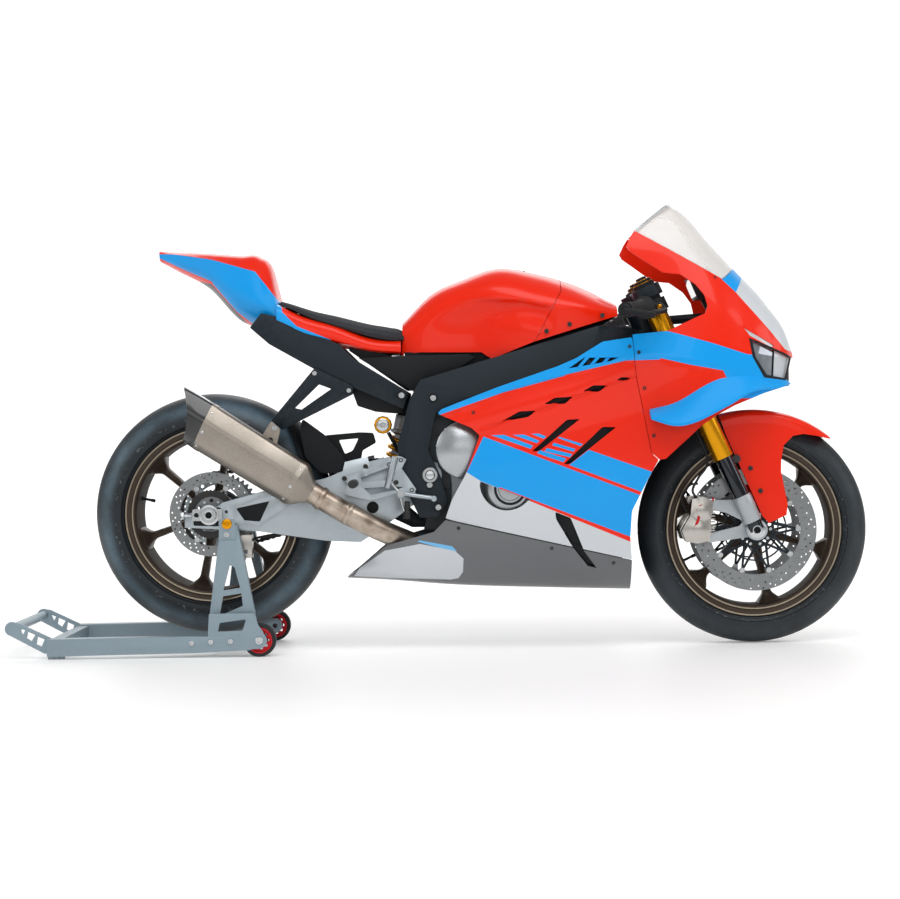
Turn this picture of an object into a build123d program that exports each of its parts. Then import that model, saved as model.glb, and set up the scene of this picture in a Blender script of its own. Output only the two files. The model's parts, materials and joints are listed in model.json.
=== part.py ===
from build123d import *
import math
import os

# Race sport bike on its rear paddock stand.  Millimetres.  +X is forward, +Y the rider's left, +Z up.
# Every X below is measured from the bike's own datum, 8 mm ahead of the swingarm pivot.
# frame_shift at the end moves the datum so that the origin lies under the middle of the bounding box.

# ---- driving dimensions ----
front_axle_x = 833.5
front_axle_z = 300.0
wheelbase = 1414.0
rear_axle_z = 360.0
rear_axle_x = front_axle_x - wheelbase
rake = math.radians(24.0)
fork_offset = 28.0          # steering axis to the plane of the two fork legs
fork_half_track = 105.0
curved_seat = 0.3           # gap between curved faces of one body
bearing_gap = 0.05          # radial running clearance at axles
run_gap = 6.0               # moving piece to a neighbour

front_tyre_radius = 300.0
front_tyre_half = 59.0
front_rim_half = 50.0
rear_tyre_radius = 315.0
rear_tyre_half = 90.0
rear_rim_half = 76.0
bead_radius = 218.0
rim_flange = 5.0            # thickness of the rim's flange
flange_radius = bead_radius + 11.0
barrel_radius = bead_radius - 17.0
well_radius = bead_radius - 12.0

front_axle_radius = 12.5
front_axle_bore = 9.0
front_axle_half = 116.0
front_hub_radius = 30.0
front_hub_half = 52.0
front_disc_radius = 160.0
front_disc_plane = 70.0
front_disc_thick = 5.5
disc_hole_radius = 3.5
disc_hole_step = 8.0         # drilled rows either side of the band's middle

rear_axle_radius = 12.5
rear_axle_bore = 8.5
rear_axle_half = 146.0
rear_hub_radius = 34.0
rear_hub_half = 62.0
rear_disc_radius = 110.0
rear_disc_plane = -85.0
rear_disc_thick = 5.0
chain_plane = 103.5
sprocket_thick = 5.5
sprocket_radius = 99.0
chain_pitch_radius = 105.0
drive_sprocket_radius = 38.0
drive_sprocket_x = 66.0
drive_sprocket_z = 468.0

pivot_x = -8.0
pivot_z = 455.0
pivot_shaft_radius = 11.0
pivot_boss_radius = 29.0

gold_tube_radius = 27.0
slider_radius = 21.5
gold_tube_low = 205.0       # distances up the fork leg from the axle
gold_tube_top = 702.0
cap_height = 8.0             # fork cap above the tube, its adjuster as high again
adjuster_radius = 9.0
foot_top = 74.0
foot_radius = 27.0
lower_yoke_low = 455.0
upper_yoke_low = gold_tube_top - 42.0
yoke_thick = 30.0
head_tube_radius = 38.0
stem_radius = 16.0
stem_bore = 9.0

shell = 4.0                 # wall of the bodywork

spool_x = rear_axle_x + 56.5  # paddock stand spools on the swingarm
spool_z = rear_axle_z - 26.0
spool_radius = 12.0
spool_end = 172.0

stand_roller_x = spool_x + 76.0
stand_roller_radius = 42.0
stand_roller_half = 12.5
stand_roller_plane = 193.0
stand_axle_radius = 6.0
stand_handle_x = spool_x - 560.0
stand_handle_z = 78.0
stand_handle_radius = 18.0
stand_arm_plane = 186.0

os.makedirs("parts", exist_ok=True)
nodes = {}
sides = (-1, 1)
side_names = ((-1, "right"), (1, "left"))


# ---- shapes ----
def slab(outline, y_start, y_end):
    """Plate with an XZ outline, from y_start to y_end."""
    wire = Wire.make_polygon([(x, y_start, z) for x, z in outline], close=True)
    return Solid.extrude(Face(wire), Vector(0, y_end - y_start, 0))


def pair(outline, y_inner, y_outer):
    """The same plate on the right and on the left."""
    return slab(outline, -y_outer, -y_inner) + slab(outline, y_inner, y_outer)


def about(outline, centre_x, centre_z):
    """Outline given round a centre."""
    return [(centre_x + x, centre_z + z) for x, z in outline]


def rod(start, end, radius):
    """Round bar between two points."""
    axis = Vector(*end) - Vector(*start)
    return Solid.make_cylinder(radius, axis.length, Plane(origin=start, z_dir=axis))


def pipe(start, end, outer, inner):
    """Round bar with a bore."""
    return rod(start, end, outer) - rod(start, end, inner)


def turned(profile, axle_x, axle_z):
    """Ring or disc: a profile of (y, radius) turned about the wheel axis."""
    wire = Wire.make_polygon([(axle_x, y, axle_z + r) for y, r in profile], close=True)
    return Solid.revolve(Face(wire), 360, Axis((axle_x, 0, axle_z), (0, 1, 0)))


def box(x_low, x_high, y_low, y_high, z_low, z_high):
    """Box given by its six faces."""
    return Pos((x_low + x_high) / 2, (y_low + y_high) / 2, (z_low + z_high) / 2) * Box(
        x_high - x_low, y_high - y_low, z_high - z_low)


def loft_rings(rings):
    """Ruled solid through closed polygons."""
    return Solid.make_loft([Wire.make_polygon(ring, close=True) for ring in rings], ruled=True)


def mirrored_ring(x, half):
    """Closed ring at one X from a half section of (y, z), crown first."""
    left = [(x, y, z) for y, z in half]
    right = [(x, -y, z) for y, z in reversed(half) if y > 0]
    return left + right


def beam(stations, side):
    """Box beam through stations of x, y_inner, y_outer, z_low, z_high on one side."""
    rings = []
    for x, y_inner, y_outer, z_low, z_high in stations:
        rings.append([(x, side * y_inner, z_low), (x, side * y_outer, z_low),
                      (x, side * y_outer, z_high), (x, side * y_inner, z_high)])
    return loft_rings(rings)


def fork_point(s, y, back=0.0):
    """Point s up the fork line from the axle, back behind it at a right angle."""
    return (front_axle_x - s * math.sin(rake) - back * math.cos(rake), y,
            front_axle_z + s * math.cos(rake) - back * math.sin(rake))


# ---- wheels ----
def crown_drop(half):
    """Height of a tyre's crown above its widest point."""
    return 0.68 * half + 8


def crown_radius(half):
    """Radius of the crown arc across the tread."""
    drop = crown_drop(half)
    return (half * half + drop * drop) / (2 * drop)


def tyre(radius, half, bead_half, axle_x, axle_z):
    """Race slick: bead, sidewall and one crown arc, hollow inside."""
    shoulder = radius - crown_drop(half)
    over_flange = flange_radius + 1
    sidewall = over_flange + 0.5 * (shoulder - over_flange)
    outside = Polyline((bead_half, bead_radius + curved_seat), (bead_half, over_flange),
                       (half - 5, sidewall), (half, shoulder))
    crown = ThreePointArc((half, shoulder), (0, radius), (-half, shoulder))
    outside_left = Polyline((-half, shoulder), (5 - half, sidewall), (-bead_half, over_flange),
                            (-bead_half, bead_radius + curved_seat))
    closing = Line((-bead_half, bead_radius + curved_seat), (bead_half, bead_radius + curved_seat))
    face = Face(Wire([*outside.edges(), crown.edge(), *outside_left.edges(), closing.edge()]))
    placed = Plane(origin=(axle_x, 0, axle_z), x_dir=(0, 1, 0), z_dir=(1, 0, 0)) * face
    return Solid.revolve(placed, 360, Axis((axle_x, 0, axle_z), (0, 1, 0)))


def rim(half, hub_radius, hub_half, bore, first_angle, axle_x, axle_z):
    """Rim barrel with flanges, six tapered spokes that fork at the barrel, and a bored hub."""
    bead_half = half - rim_flange
    barrel = turned([(-half, barrel_radius), (-half, flange_radius), (-bead_half, flange_radius),
                     (-bead_half, bead_radius), (-bead_half + 18, bead_radius - 4),
                     (-bead_half + 26, well_radius), (bead_half - 26, well_radius),
                     (bead_half - 18, bead_radius - 4), (bead_half, bead_radius),
                     (bead_half, flange_radius), (half, flange_radius), (half, barrel_radius),
                     (half - 14, barrel_radius - 2), (14 - half, barrel_radius - 2)], axle_x, axle_z)
    wheel = barrel + turned([(-hub_half, 0), (-hub_half, hub_radius), (hub_half, hub_radius), (hub_half, 0)],
                            axle_x, axle_z)
    spoke = slab([(hub_radius - 6, -15), (barrel_radius - 62, -10), (barrel_radius + 1, -27),
                  (barrel_radius + 1, -13), (barrel_radius - 30, 0), (barrel_radius + 1, 13),
                  (barrel_radius + 1, 27), (barrel_radius - 62, 10), (hub_radius - 6, 15)], -19, 19)
    for index in range(6):
        turn = first_angle + 60 * index
        wheel = wheel + Pos(axle_x, 0, axle_z) * Rot(0, -turn, 0) * spoke
    return wheel - rod((axle_x, -half - 9, axle_z), (axle_x, half + 9, axle_z), bore)


def brake_disc(plane, radius, thick, carrier_radius, bore, axle_x, axle_z):
    """Drilled disc ring on an eight-arm carrier."""
    low = plane - thick / 2
    high = plane + thick / 2
    band = 0.70 * radius
    disc = turned([(low, band), (low, radius), (high, radius), (high, band)], axle_x, axle_z)
    hub = turned([(low, bore), (low, carrier_radius), (high, carrier_radius), (high, bore)], axle_x, axle_z)
    arm = slab([(carrier_radius - 3, -9), (band + 2, -6), (band + 2, 6), (carrier_radius - 3, 9)], low, high)
    disc = disc + hub
    for index in range(8):
        disc = disc + Pos(axle_x, 0, axle_z) * Rot(0, -45 * index, 0) * arm
    hole_circle = (band + radius) / 2
    hole_count = 20
    for index in range(hole_count):
        turn = 2 * math.pi * index / hole_count
        reach = hole_circle + (disc_hole_step if index % 2 else -disc_hole_step)
        x = axle_x + reach * math.cos(turn)
        z = axle_z + reach * math.sin(turn)
        disc = disc - rod((x, low - 1, z), (x, high + 1, z), disc_hole_radius)
    return disc


front_bead_half = front_rim_half - rim_flange - curved_seat
rear_bead_half = rear_rim_half - rim_flange - curved_seat
nodes["front_rim"] = rim(front_rim_half, front_hub_radius, front_hub_half,
                         front_axle_radius + bearing_gap, 42.5, front_axle_x, front_axle_z)
nodes["front_tyre"] = tyre(front_tyre_radius, front_tyre_half, front_bead_half, front_axle_x, front_axle_z)
nodes["rear_rim"] = rim(rear_rim_half, rear_hub_radius, rear_hub_half,
                        rear_axle_radius + bearing_gap, 19.0, rear_axle_x, rear_axle_z)
nodes["rear_tyre"] = tyre(rear_tyre_radius, rear_tyre_half, rear_bead_half, rear_axle_x, rear_axle_z)

front_spacer_bore = front_axle_radius + bearing_gap
front_discs = []
for side in sides:
    disc = brake_disc(side * front_disc_plane, front_disc_radius, front_disc_thick,
                      front_hub_radius + 22, front_spacer_bore, front_axle_x, front_axle_z)
    seat_start = side * front_hub_half
    seat_end = side * (front_disc_plane - front_disc_thick / 2)
    boss = pipe((front_axle_x, seat_start, front_axle_z), (front_axle_x, seat_end, front_axle_z),
                front_hub_radius, front_spacer_bore)
    front_discs.append(disc + boss)
nodes["front_discs"] = front_discs[0] + front_discs[1]

rear_spacer_bore = rear_axle_radius + bearing_gap
rear_disc_inner = rear_disc_plane + rear_disc_thick / 2
nodes["rear_disc"] = brake_disc(rear_disc_plane, rear_disc_radius, rear_disc_thick, rear_hub_radius + 12,
                                rear_spacer_bore, rear_axle_x, rear_axle_z) + pipe(
    (rear_axle_x, -rear_hub_half, rear_axle_z), (rear_axle_x, rear_disc_inner, rear_axle_z),
    rear_hub_radius, rear_spacer_bore)

# ---- sprocket and chain ----
sprocket_low = chain_plane - sprocket_thick / 2
sprocket_high = chain_plane + sprocket_thick / 2
sprocket_carrier = rear_hub_radius + 20
sprocket = turned([(rear_hub_half, rear_spacer_bore), (rear_hub_half, sprocket_carrier), (sprocket_low, sprocket_carrier),
                   (sprocket_low, sprocket_radius), (sprocket_high, sprocket_radius), (sprocket_high, rear_spacer_bore)],
                  rear_axle_x, rear_axle_z)
window_circle = (sprocket_carrier + sprocket_radius) / 2 + 2
for index in range(8):
    turn = math.pi * index / 4
    x = rear_axle_x + window_circle * math.cos(turn)
    z = rear_axle_z + window_circle * math.sin(turn)
    sprocket = sprocket - rod((x, sprocket_low - 1, z), (x, sprocket_high + 1, z), 9)
nodes["rear_sprocket"] = sprocket


def belt_outline(radius_rear, radius_front):
    """Outer tangent loop round the two sprocket centres, as a face in XZ."""
    dx = drive_sprocket_x - rear_axle_x
    dz = drive_sprocket_z - rear_axle_z
    span = math.hypot(dx, dz)
    slope = math.atan2(dz, dx)
    spread = math.acos((radius_rear - radius_front) / span)
    top = slope + spread
    low = slope - spread
    def at(cx, cz, radius, angle):
        return (cx + radius * math.cos(angle), 0, cz + radius * math.sin(angle))
    rear_top = at(rear_axle_x, rear_axle_z, radius_rear, top)
    rear_low = at(rear_axle_x, rear_axle_z, radius_rear, low)
    rear_mid = at(rear_axle_x, rear_axle_z, radius_rear, slope + math.pi)
    front_top = at(drive_sprocket_x, drive_sprocket_z, radius_front, top)
    front_low = at(drive_sprocket_x, drive_sprocket_z, radius_front, low)
    front_mid = at(drive_sprocket_x, drive_sprocket_z, radius_front, slope)
    return Face(Wire([Edge.make_line(rear_top, front_top),
                      Edge.make_three_point_arc(front_top, front_mid, front_low),
                      Edge.make_line(front_low, rear_low),
                      Edge.make_three_point_arc(rear_low, rear_mid, rear_top)]))


def belt(outer, inner, y_low, y_high):
    """Closed band round the sprockets, outer and inner measured from the pitch line."""
    big = Solid.extrude(belt_outline(chain_pitch_radius + outer, drive_sprocket_radius + outer),
                        Vector(0, y_high - y_low, 0))
    small = Solid.extrude(belt_outline(chain_pitch_radius - inner, drive_sprocket_radius - inner),
                          Vector(0, y_high - y_low, 0))
    return Pos(0, y_low, 0) * (big - small)


chain_half = 8.5
chain_link_thick = 5.0
roller_radius = 5.0
chain = belt(6.5, 6.5, chain_plane - chain_half, chain_plane - chain_half + chain_link_thick)
chain = chain + belt(6.5, 6.5, chain_plane + chain_half - chain_link_thick, chain_plane + chain_half)
chain = chain + belt(roller_radius, 0.0, chain_plane - chain_half + chain_link_thick,
                     chain_plane + chain_half - chain_link_thick)
nodes["chain"] = chain
nodes["drive_sprocket"] = rod((drive_sprocket_x, sprocket_low, drive_sprocket_z),
                              (drive_sprocket_x, sprocket_high, drive_sprocket_z),
                              drive_sprocket_radius - 6.0) + rod(
    (drive_sprocket_x, chain_plane - 14, drive_sprocket_z), (drive_sprocket_x, sprocket_low, drive_sprocket_z), 14)

# ---- axles ----
nodes["front_axle"] = pipe((front_axle_x, -front_axle_half, front_axle_z),
                           (front_axle_x, front_axle_half, front_axle_z),
                           front_axle_radius, front_axle_bore)

# ---- fork, yokes and controls ----
def leg(s_low, s_high, y, radius):
    """Round length of a fork leg."""
    return rod(fork_point(s_low, y), fork_point(s_high, y), radius)


fork_tubes = []
fork_lowers = []
for side in sides:
    y = side * fork_half_track
    cap = leg(gold_tube_top, gold_tube_top + cap_height, y, slider_radius)
    cap = cap + leg(gold_tube_top, gold_tube_top + 2 * cap_height, y, adjuster_radius)
    fork_tubes.append(leg(gold_tube_low, gold_tube_top, y, gold_tube_radius) + cap
                      - leg(gold_tube_low - 1, gold_tube_low + 40, y, slider_radius + curved_seat))
    foot_inner = side * (front_disc_plane + front_disc_thick / 2 + run_gap)
    foot_outer = side * (front_axle_half - 4)
    foot = rod((front_axle_x, foot_inner, front_axle_z), (front_axle_x, foot_outer, front_axle_z), foot_radius)
    lower = leg(0, foot_top, y, slider_radius) & box(front_axle_x - 120, front_axle_x + 60,
                                                   min(foot_inner, side * 140), max(foot_inner, side * 140),
                                                   front_axle_z - 60, front_axle_z + 120)
    lower = foot + lower + leg(foot_top, gold_tube_low + 39, y, slider_radius)
    lower = lower - rod((front_axle_x, -150, front_axle_z), (front_axle_x, 150, front_axle_z),
                        front_axle_radius + curved_seat)
    fork_lowers.append(lower)
nodes["fork_tubes"] = fork_tubes[0] + fork_tubes[1]
nodes["fork_lowers"] = fork_lowers[0] + fork_lowers[1]


def yoke(s_low, thick, half_width):
    """Triple clamp: plate across both legs with round ends and bores for legs and stem."""
    plate = rod(fork_point(s_low, -fork_half_track), fork_point(s_low + thick, -fork_half_track),
                gold_tube_radius + 11)
    plate = plate + rod(fork_point(s_low, fork_half_track), fork_point(s_low + thick, fork_half_track),
                        gold_tube_radius + 11)
    plate = plate + rod(fork_point(s_low, 0, fork_offset), fork_point(s_low + thick, 0, fork_offset), 32)
    middle = Plane(origin=fork_point(s_low, 0, fork_offset / 2), x_dir=(0, 1, 0),
                   z_dir=(-math.sin(rake), 0, math.cos(rake)))
    web = extrude(middle * Rectangle(2 * half_width, 46), thick)
    plate = plate + web
    for side in sides:
        plate = plate - leg(s_low - 1, s_low + thick + 1, side * fork_half_track, gold_tube_radius + curved_seat)
    return plate


head_low = lower_yoke_low + yoke_thick + 2.0
head_top = upper_yoke_low - 2.0
stem = pipe(fork_point(lower_yoke_low, 0, fork_offset), fork_point(upper_yoke_low + yoke_thick + 6, 0, fork_offset),
            stem_radius, stem_bore)
stem_bore_room = rod(fork_point(lower_yoke_low - 1, 0, fork_offset),
                     fork_point(lower_yoke_low + 60, 0, fork_offset), stem_bore)
nodes["lower_yoke"] = yoke(lower_yoke_low, yoke_thick, fork_half_track) + stem - stem_bore_room
nodes["upper_yoke"] = yoke(upper_yoke_low, yoke_thick, fork_half_track) - rod(
    fork_point(upper_yoke_low - 1, 0, fork_offset), fork_point(upper_yoke_low + yoke_thick + 1, 0, fork_offset),
    stem_radius + curved_seat)

clip_on_low = upper_yoke_low - 42.0
clip_on_thick = 32.0
bar_radius = 11.0
grip_radius = 17.0
bar_sweep = math.radians(22.0)
bar_drop = math.radians(5.0)
bar_start_y = fork_half_track + gold_tube_radius
bar_length = 222.0


def bar_point(side, along):
    """Point along a clip-on bar from its clamp."""
    x0, _, z0 = fork_point(clip_on_low + clip_on_thick / 2, 0)
    return (x0 - 8 - along * math.sin(bar_sweep), side * (bar_start_y + along * math.cos(bar_sweep)),
            z0 - along * math.sin(bar_drop))


clip_ons = []
grips = []
levers = []
for side in sides:
    clamp = leg(clip_on_low, clip_on_low + clip_on_thick, side * fork_half_track, gold_tube_radius + 9)
    clamp = clamp + rod(bar_point(side, -12), bar_point(side, bar_length), bar_radius)
    clamp = clamp - leg(clip_on_low - 1, clip_on_low + clip_on_thick + 1, side * fork_half_track,
                        gold_tube_radius + curved_seat)
    grip = pipe(bar_point(side, 92), bar_point(side, bar_length - 1), grip_radius, bar_radius + curved_seat)
    grip = grip + pipe(bar_point(side, 62), bar_point(side, 91), grip_radius + 7, bar_radius + curved_seat)
    grips.append(grip)
    guard_tip = bar_point(side, bar_length + 14)
    guard_front = (guard_tip[0] + 78, guard_tip[1], guard_tip[2] - 14)
    lever_root = (bar_point(side, 54)[0] + 50, bar_point(side, 54)[1], bar_point(side, 54)[2] - 6)
    lever_tip = (bar_point(side, 190)[0] + 56, bar_point(side, 190)[1], bar_point(side, 190)[2] - 10)
    perch = rod(bar_point(side, 40), bar_point(side, 60), grip_radius + 2) + rod(
        bar_point(side, 50), lever_root, 9)
    perch = perch + rod(lever_root, lever_tip, 6) - rod(bar_point(side, 30), bar_point(side, 66),
                                                       bar_radius + curved_seat)
    levers.append(perch)
    guard = rod(bar_point(side, bar_length), guard_tip, 14) + rod(guard_tip, guard_front, 8)
    clip_ons.append(clamp + guard)
nodes["clip_ons"] = clip_ons[0] + clip_ons[1]
nodes["grips"] = grips[0] + grips[1]
nodes["levers"] = levers[0] + levers[1]

caliper_outline = [(-165, 82), (-133, 86), (-111, 76), (-117, 30), (-117, 0), (-125, -28), (-153, -34), (-183, -28),
                   (-193, 0), (-183, 18), (-170, 40)]
bridge_outline = [(-165, 82), (-150, 84), (-164, 28), (-164, 0), (-158, -33), (-183, -28), (-193, 0), (-183, 18),
                  (-170, 40)]
arm_outline = [(-118, 78), (-48, 78), (-38, 72), (-3, 18), (0, -10), (-12, -18), (-120, -32), (-132, -26), (-120, -8),
               (-44, 10), (-33, 22), (-78, 45), (-118, 52)]
caliper_inner = 19.0        # half width of the caliper inboard of the disc
caliper_outer = 32.0        # and outboard of it
pad_room = front_disc_thick / 2 + 2


front_calipers = []
for side in sides:
    disc_y = side * front_disc_plane
    body = slab(about(caliper_outline, front_axle_x, front_axle_z), disc_y + side * pad_room,
                disc_y + side * caliper_outer)
    body = body + slab(about(caliper_outline, front_axle_x, front_axle_z), disc_y - side * pad_room,
                       disc_y - side * caliper_inner)
    body = body + slab(about(bridge_outline, front_axle_x, front_axle_z), disc_y - side * caliper_inner,
                       disc_y + side * caliper_outer)
    body = body - rod((front_axle_x, disc_y - side * pad_room, front_axle_z),
                      (front_axle_x, disc_y + side * pad_room, front_axle_z), front_disc_radius + 3)
    for x, z in ((-140, 50), (-148, 2)):
        body = body + rod((front_axle_x + x, disc_y + side * (caliper_outer - 1), front_axle_z + z),
                          (front_axle_x + x, disc_y + side * (caliper_outer + 4), front_axle_z + z), 15)
    arm = slab(about(arm_outline, front_axle_x, front_axle_z), disc_y + side * 14, disc_y + side * 26)
    arm = arm - nodes["fork_lowers"] - nodes["fork_tubes"] - rod(
        (front_axle_x, -150, front_axle_z), (front_axle_x, 150, front_axle_z), front_axle_radius + curved_seat)
    front_calipers.append(body + arm)
nodes["front_calipers"] = front_calipers[0] + front_calipers[1]

fender_inner = front_disc_plane + front_disc_thick / 2 + 5.5
fender_outer = fender_inner + 3.0
tyre_top = front_axle_z + front_tyre_radius
fender_room = 8.0           # tyre to the inside of the crown
fender_skirt = 40.0         # flanks start this far below the tyre's top
fender = slab([(772, tyre_top + 3), (842, tyre_top + 20), (929, tyre_top + 3), (1028, tyre_top - 60),
               (958, tyre_top - 54), (923, tyre_top - 69), (906, tyre_top - 99), (917, front_axle_z + 64),
               (881, front_axle_z + 6), (856, front_axle_z + 30), (743, tyre_top - fender_skirt)],
              -fender_outer, fender_outer)
fender = fender - rod((front_axle_x, -fender_inner, front_axle_z), (front_axle_x, fender_inner, front_axle_z),
                      front_tyre_radius + fender_room)
fender = fender - box(700, 1000, -fender_inner, fender_inner, front_axle_z - 20, tyre_top - fender_skirt)
for side in sides:
    fender = fender - leg(0, gold_tube_top, side * fork_half_track, gold_tube_radius + curved_seat)
fender_lug_s = 188.0
for side in sides:
    lug_x, _, lug_z = fork_point(fender_lug_s, 0, -gold_tube_radius - 3)
    lug = rod((lug_x, side * fender_inner, lug_z), (lug_x, side * (fork_half_track - 4), lug_z), 11)
    fender = fender + (lug - leg(0, gold_tube_top, side * fork_half_track, slider_radius + curved_seat)
                       - leg(gold_tube_low, gold_tube_top, side * fork_half_track, gold_tube_radius + curved_seat))
nodes["front_fender"] = fender

# ---- side panel form ----
side_rings = [  # x, then outer edge of (y, z) from top to bottom
    (-10, [(160, 690), (172, 600), (188, 532), (184, 440), (170, 340), (150, 200)]),
    (180, [(172, 740), (186, 664), (208, 593), (205, 470), (196, 340), (176, 200)]),
    (350, [(178, 790), (194, 705), (215, 646), (212, 500), (203, 340), (182, 200)]),
    (500, [(186, 812), (204, 742), (216, 694), (214, 520), (205, 340), (184, 200)]),
    (600, [(186, 812), (204, 760), (216, 720), (213, 540), (203, 340), (180, 200)]),
]

# ---- frame ----
plate_inner = 118.0
plate_outer = 150.0
spar_stations = [  # x, y_inner, y_outer, z_low, z_high
    (-30, plate_inner, plate_outer, 606, 700),
    (430, 108, plate_outer, 722, 832),
    (530, 40, 78, 738, 826),
]
pivot_plate = [(-57, 652), (-91, 531), (-80, 440), (-36, 346), (8, 346), (36, 385), (18, 453),
               (-12, 519), (10, 622), (30, 700), (-30, 700)]
frame = pair(pivot_plate, plate_inner, plate_outer)
for side in sides:
    frame = frame + beam(spar_stations, side)
head_room = rod(fork_point(head_low, 0, fork_offset), fork_point(head_top, 0, fork_offset), head_tube_radius)
frame = frame + head_room + box(520, 560, -60, 60, 748, 824)
for x_low, x_high, z_low, z_high in ((-50, -20, 630, 665), (-30, 0, 350, 376)):
    frame = frame + box(x_low, x_high, -plate_outer, plate_outer, z_low, z_high)
stem_length_low = head_low - 1
frame = frame - rod(fork_point(stem_length_low, 0, fork_offset), fork_point(head_top + 1, 0, fork_offset),
                    stem_radius + curved_seat)
frame = frame - rod((pivot_x, -160, pivot_z), (pivot_x, 160, pivot_z), pivot_shaft_radius + curved_seat)
yoke_room = rod(fork_point(lower_yoke_low - 4, 0, fork_offset), fork_point(head_low, 0, fork_offset), 60)
yoke_room = yoke_room + rod(fork_point(head_top, 0, fork_offset), fork_point(head_top + 60, 0, fork_offset), 60)
frame = frame - yoke_room
frame = frame + pair([(-28, 352), (-28, 318), (-4, 318), (-4, 352)], 34, 42)
frame = frame + box(-82, -45, -18, 18, 616, 650)


def side_form(side, wall):
    """Filled side of the bike out to the side panel's skin, less its wall."""
    rings = []
    for x, edge in side_rings:
        rings.append([(x, side * 120, edge[0][1])] + [(x, side * (y - wall), z) for y, z in edge]
                     + [(x, side * 120, edge[-1][1])])
    return loft_rings(rings)


for side in sides:
    for x, z in ((120, 652), (400, 738)):
        standoff = rod((x, side * (plate_outer - 6), z), (x, side * 230, z), 7)
        frame = frame + (standoff & side_form(side, shell))
nodes["main_frame"] = frame
nodes["pivot_shaft"] = rod((pivot_x, -plate_outer - 8, pivot_z), (pivot_x, plate_outer + 8, pivot_z),
                           pivot_shaft_radius)

# ---- engine ----
crankcase = slab([(40, 330), (330, 290), (380, 350), (360, 470), (330, 560), (120, 560), (36, 520), (44, 430)],
                 -112, 112)
cylinders = slab([(170, 560), (330, 560), (400, 640), (392, 720), (250, 720), (180, 640)], -100, 100)
sump = slab([(120, 330), (290, 300), (290, 262), (150, 266)], -70, 70)
sprocket_room = box(20, drive_sprocket_x + 62, chain_plane - 14, 120, 400, 540)
nodes["engine_block"] = crankcase + cylinders + sump - sprocket_room
engine_covers = []
cover_table = [  # side, centre x, centre z, radius, depth
    (-1, 82, 519, 74, 72),
    (-1, 196, 417, 64, 78),
    (1, 120, 470, 66, 60),
    (1, 235, 415, 74, 74),
]
for side, cx, cz, radius, depth in cover_table:
    cover = rod((cx, side * 112.3, cz), (cx, side * (112 + depth), cz), radius)
    cover = chamfer(cover.edges().filter_by(GeomType.CIRCLE).sort_by(Axis.Y)[0 if side < 0 else -1], 12)
    engine_covers.append(cover)
nodes["engine_covers"] = engine_covers[0] + engine_covers[1] + engine_covers[2] + engine_covers[3]

# ---- swingarm ----
right_arm = [  # x, y_inner, y_outer, z_low, z_high
    (rear_axle_x - 64.5, 108, 126, rear_axle_z - 32, rear_axle_z + 1),
    (rear_axle_x + 35.5, 106, 130, rear_axle_z - 38, rear_axle_z + 32),
    (rear_axle_x + 127.5, 104, 130, rear_axle_z - 44, rear_axle_z + 56),
    (-280, 104, 126, 289, 450),
    (-190, 95, 124, 284, 486),
    (-120, 72, 112, 330, 502),
    (12, 72, 112, 424, 486),
]
left_arm = [
    (rear_axle_x - 64.5, 119, 136, rear_axle_z - 32, rear_axle_z + 1),
    (rear_axle_x + 35.5, 118, 141, rear_axle_z - 38, rear_axle_z + 32),
    (rear_axle_x + 127.5, 118, 141, rear_axle_z - 44, rear_axle_z + 56),
    (-280, 118, 138, 300, 450),
    (-236, 116, 138, 380, 466),
    (-150, 56, 88, 384, 474),
    (12, 56, 88, 424, 486),
]
swingarm = beam(right_arm, -1) + beam(left_arm, 1)
brace_length = 74.0
brace_rear = rear_axle_x + rear_tyre_radius + 25.5
brace_front = brace_rear + brace_length
brace_top = 466.0
swingarm = swingarm + box(brace_rear, brace_front, -104, 118, 384, brace_top)
swingarm = swingarm + rod((pivot_x, -112, pivot_z), (pivot_x, 88, pivot_z), pivot_boss_radius)
swingarm = swingarm - rod((pivot_x, -113, pivot_z), (pivot_x, 113, pivot_z), pivot_shaft_radius + curved_seat)
axle_slot = box(rear_axle_x - 26, rear_axle_x + 20, -142, 142, rear_axle_z - rear_axle_radius - curved_seat,
                rear_axle_z + rear_axle_radius + curved_seat)
swingarm = swingarm - axle_slot
arm_window = about([(69.5, 16), (156.5, 35), (130.5, -19), (90.5, -15)], rear_axle_x, rear_axle_z)
swingarm = swingarm - slab(arm_window, -140, -126.5) - slab(arm_window, 137, 145)
swingarm = swingarm + rod((spool_x, -spool_end, spool_z), (spool_x, -125, spool_z), spool_radius)
swingarm = swingarm + rod((spool_x, 125, spool_z), (spool_x, spool_end, spool_z), spool_radius)
nodes["swingarm"] = swingarm
nodes["rear_axle"] = pipe((rear_axle_x, -rear_axle_half, rear_axle_z), (rear_axle_x, rear_axle_half, rear_axle_z),
                          rear_axle_radius, rear_axle_bore)

# ---- shock ----
shock_eye_half = 25.0
body_radius = 24.0
damper = rod((-114, 0, 400), (-66, 0, 622), body_radius)
spring = rod((-110, 0, 420), (-82, 0, 560), 38)
low_eye = rod((-118, -shock_eye_half, 384), (-118, shock_eye_half, 384), 20)
reservoir = rod((-130, -98, 586), (-130, -44, 586), body_radius) + rod((-130, -54, 586), (-76, 0, 586), 12)
nodes["rear_shock"] = damper + spring + low_eye + reservoir - nodes["main_frame"]
nodes["shock_linkage"] = pair([(-150, 360), (-124, 400), (-100, 396), (-40, 342), (-6, 340), (-6, 316), (-60, 316)],
                              shock_eye_half, shock_eye_half + 9)

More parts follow.
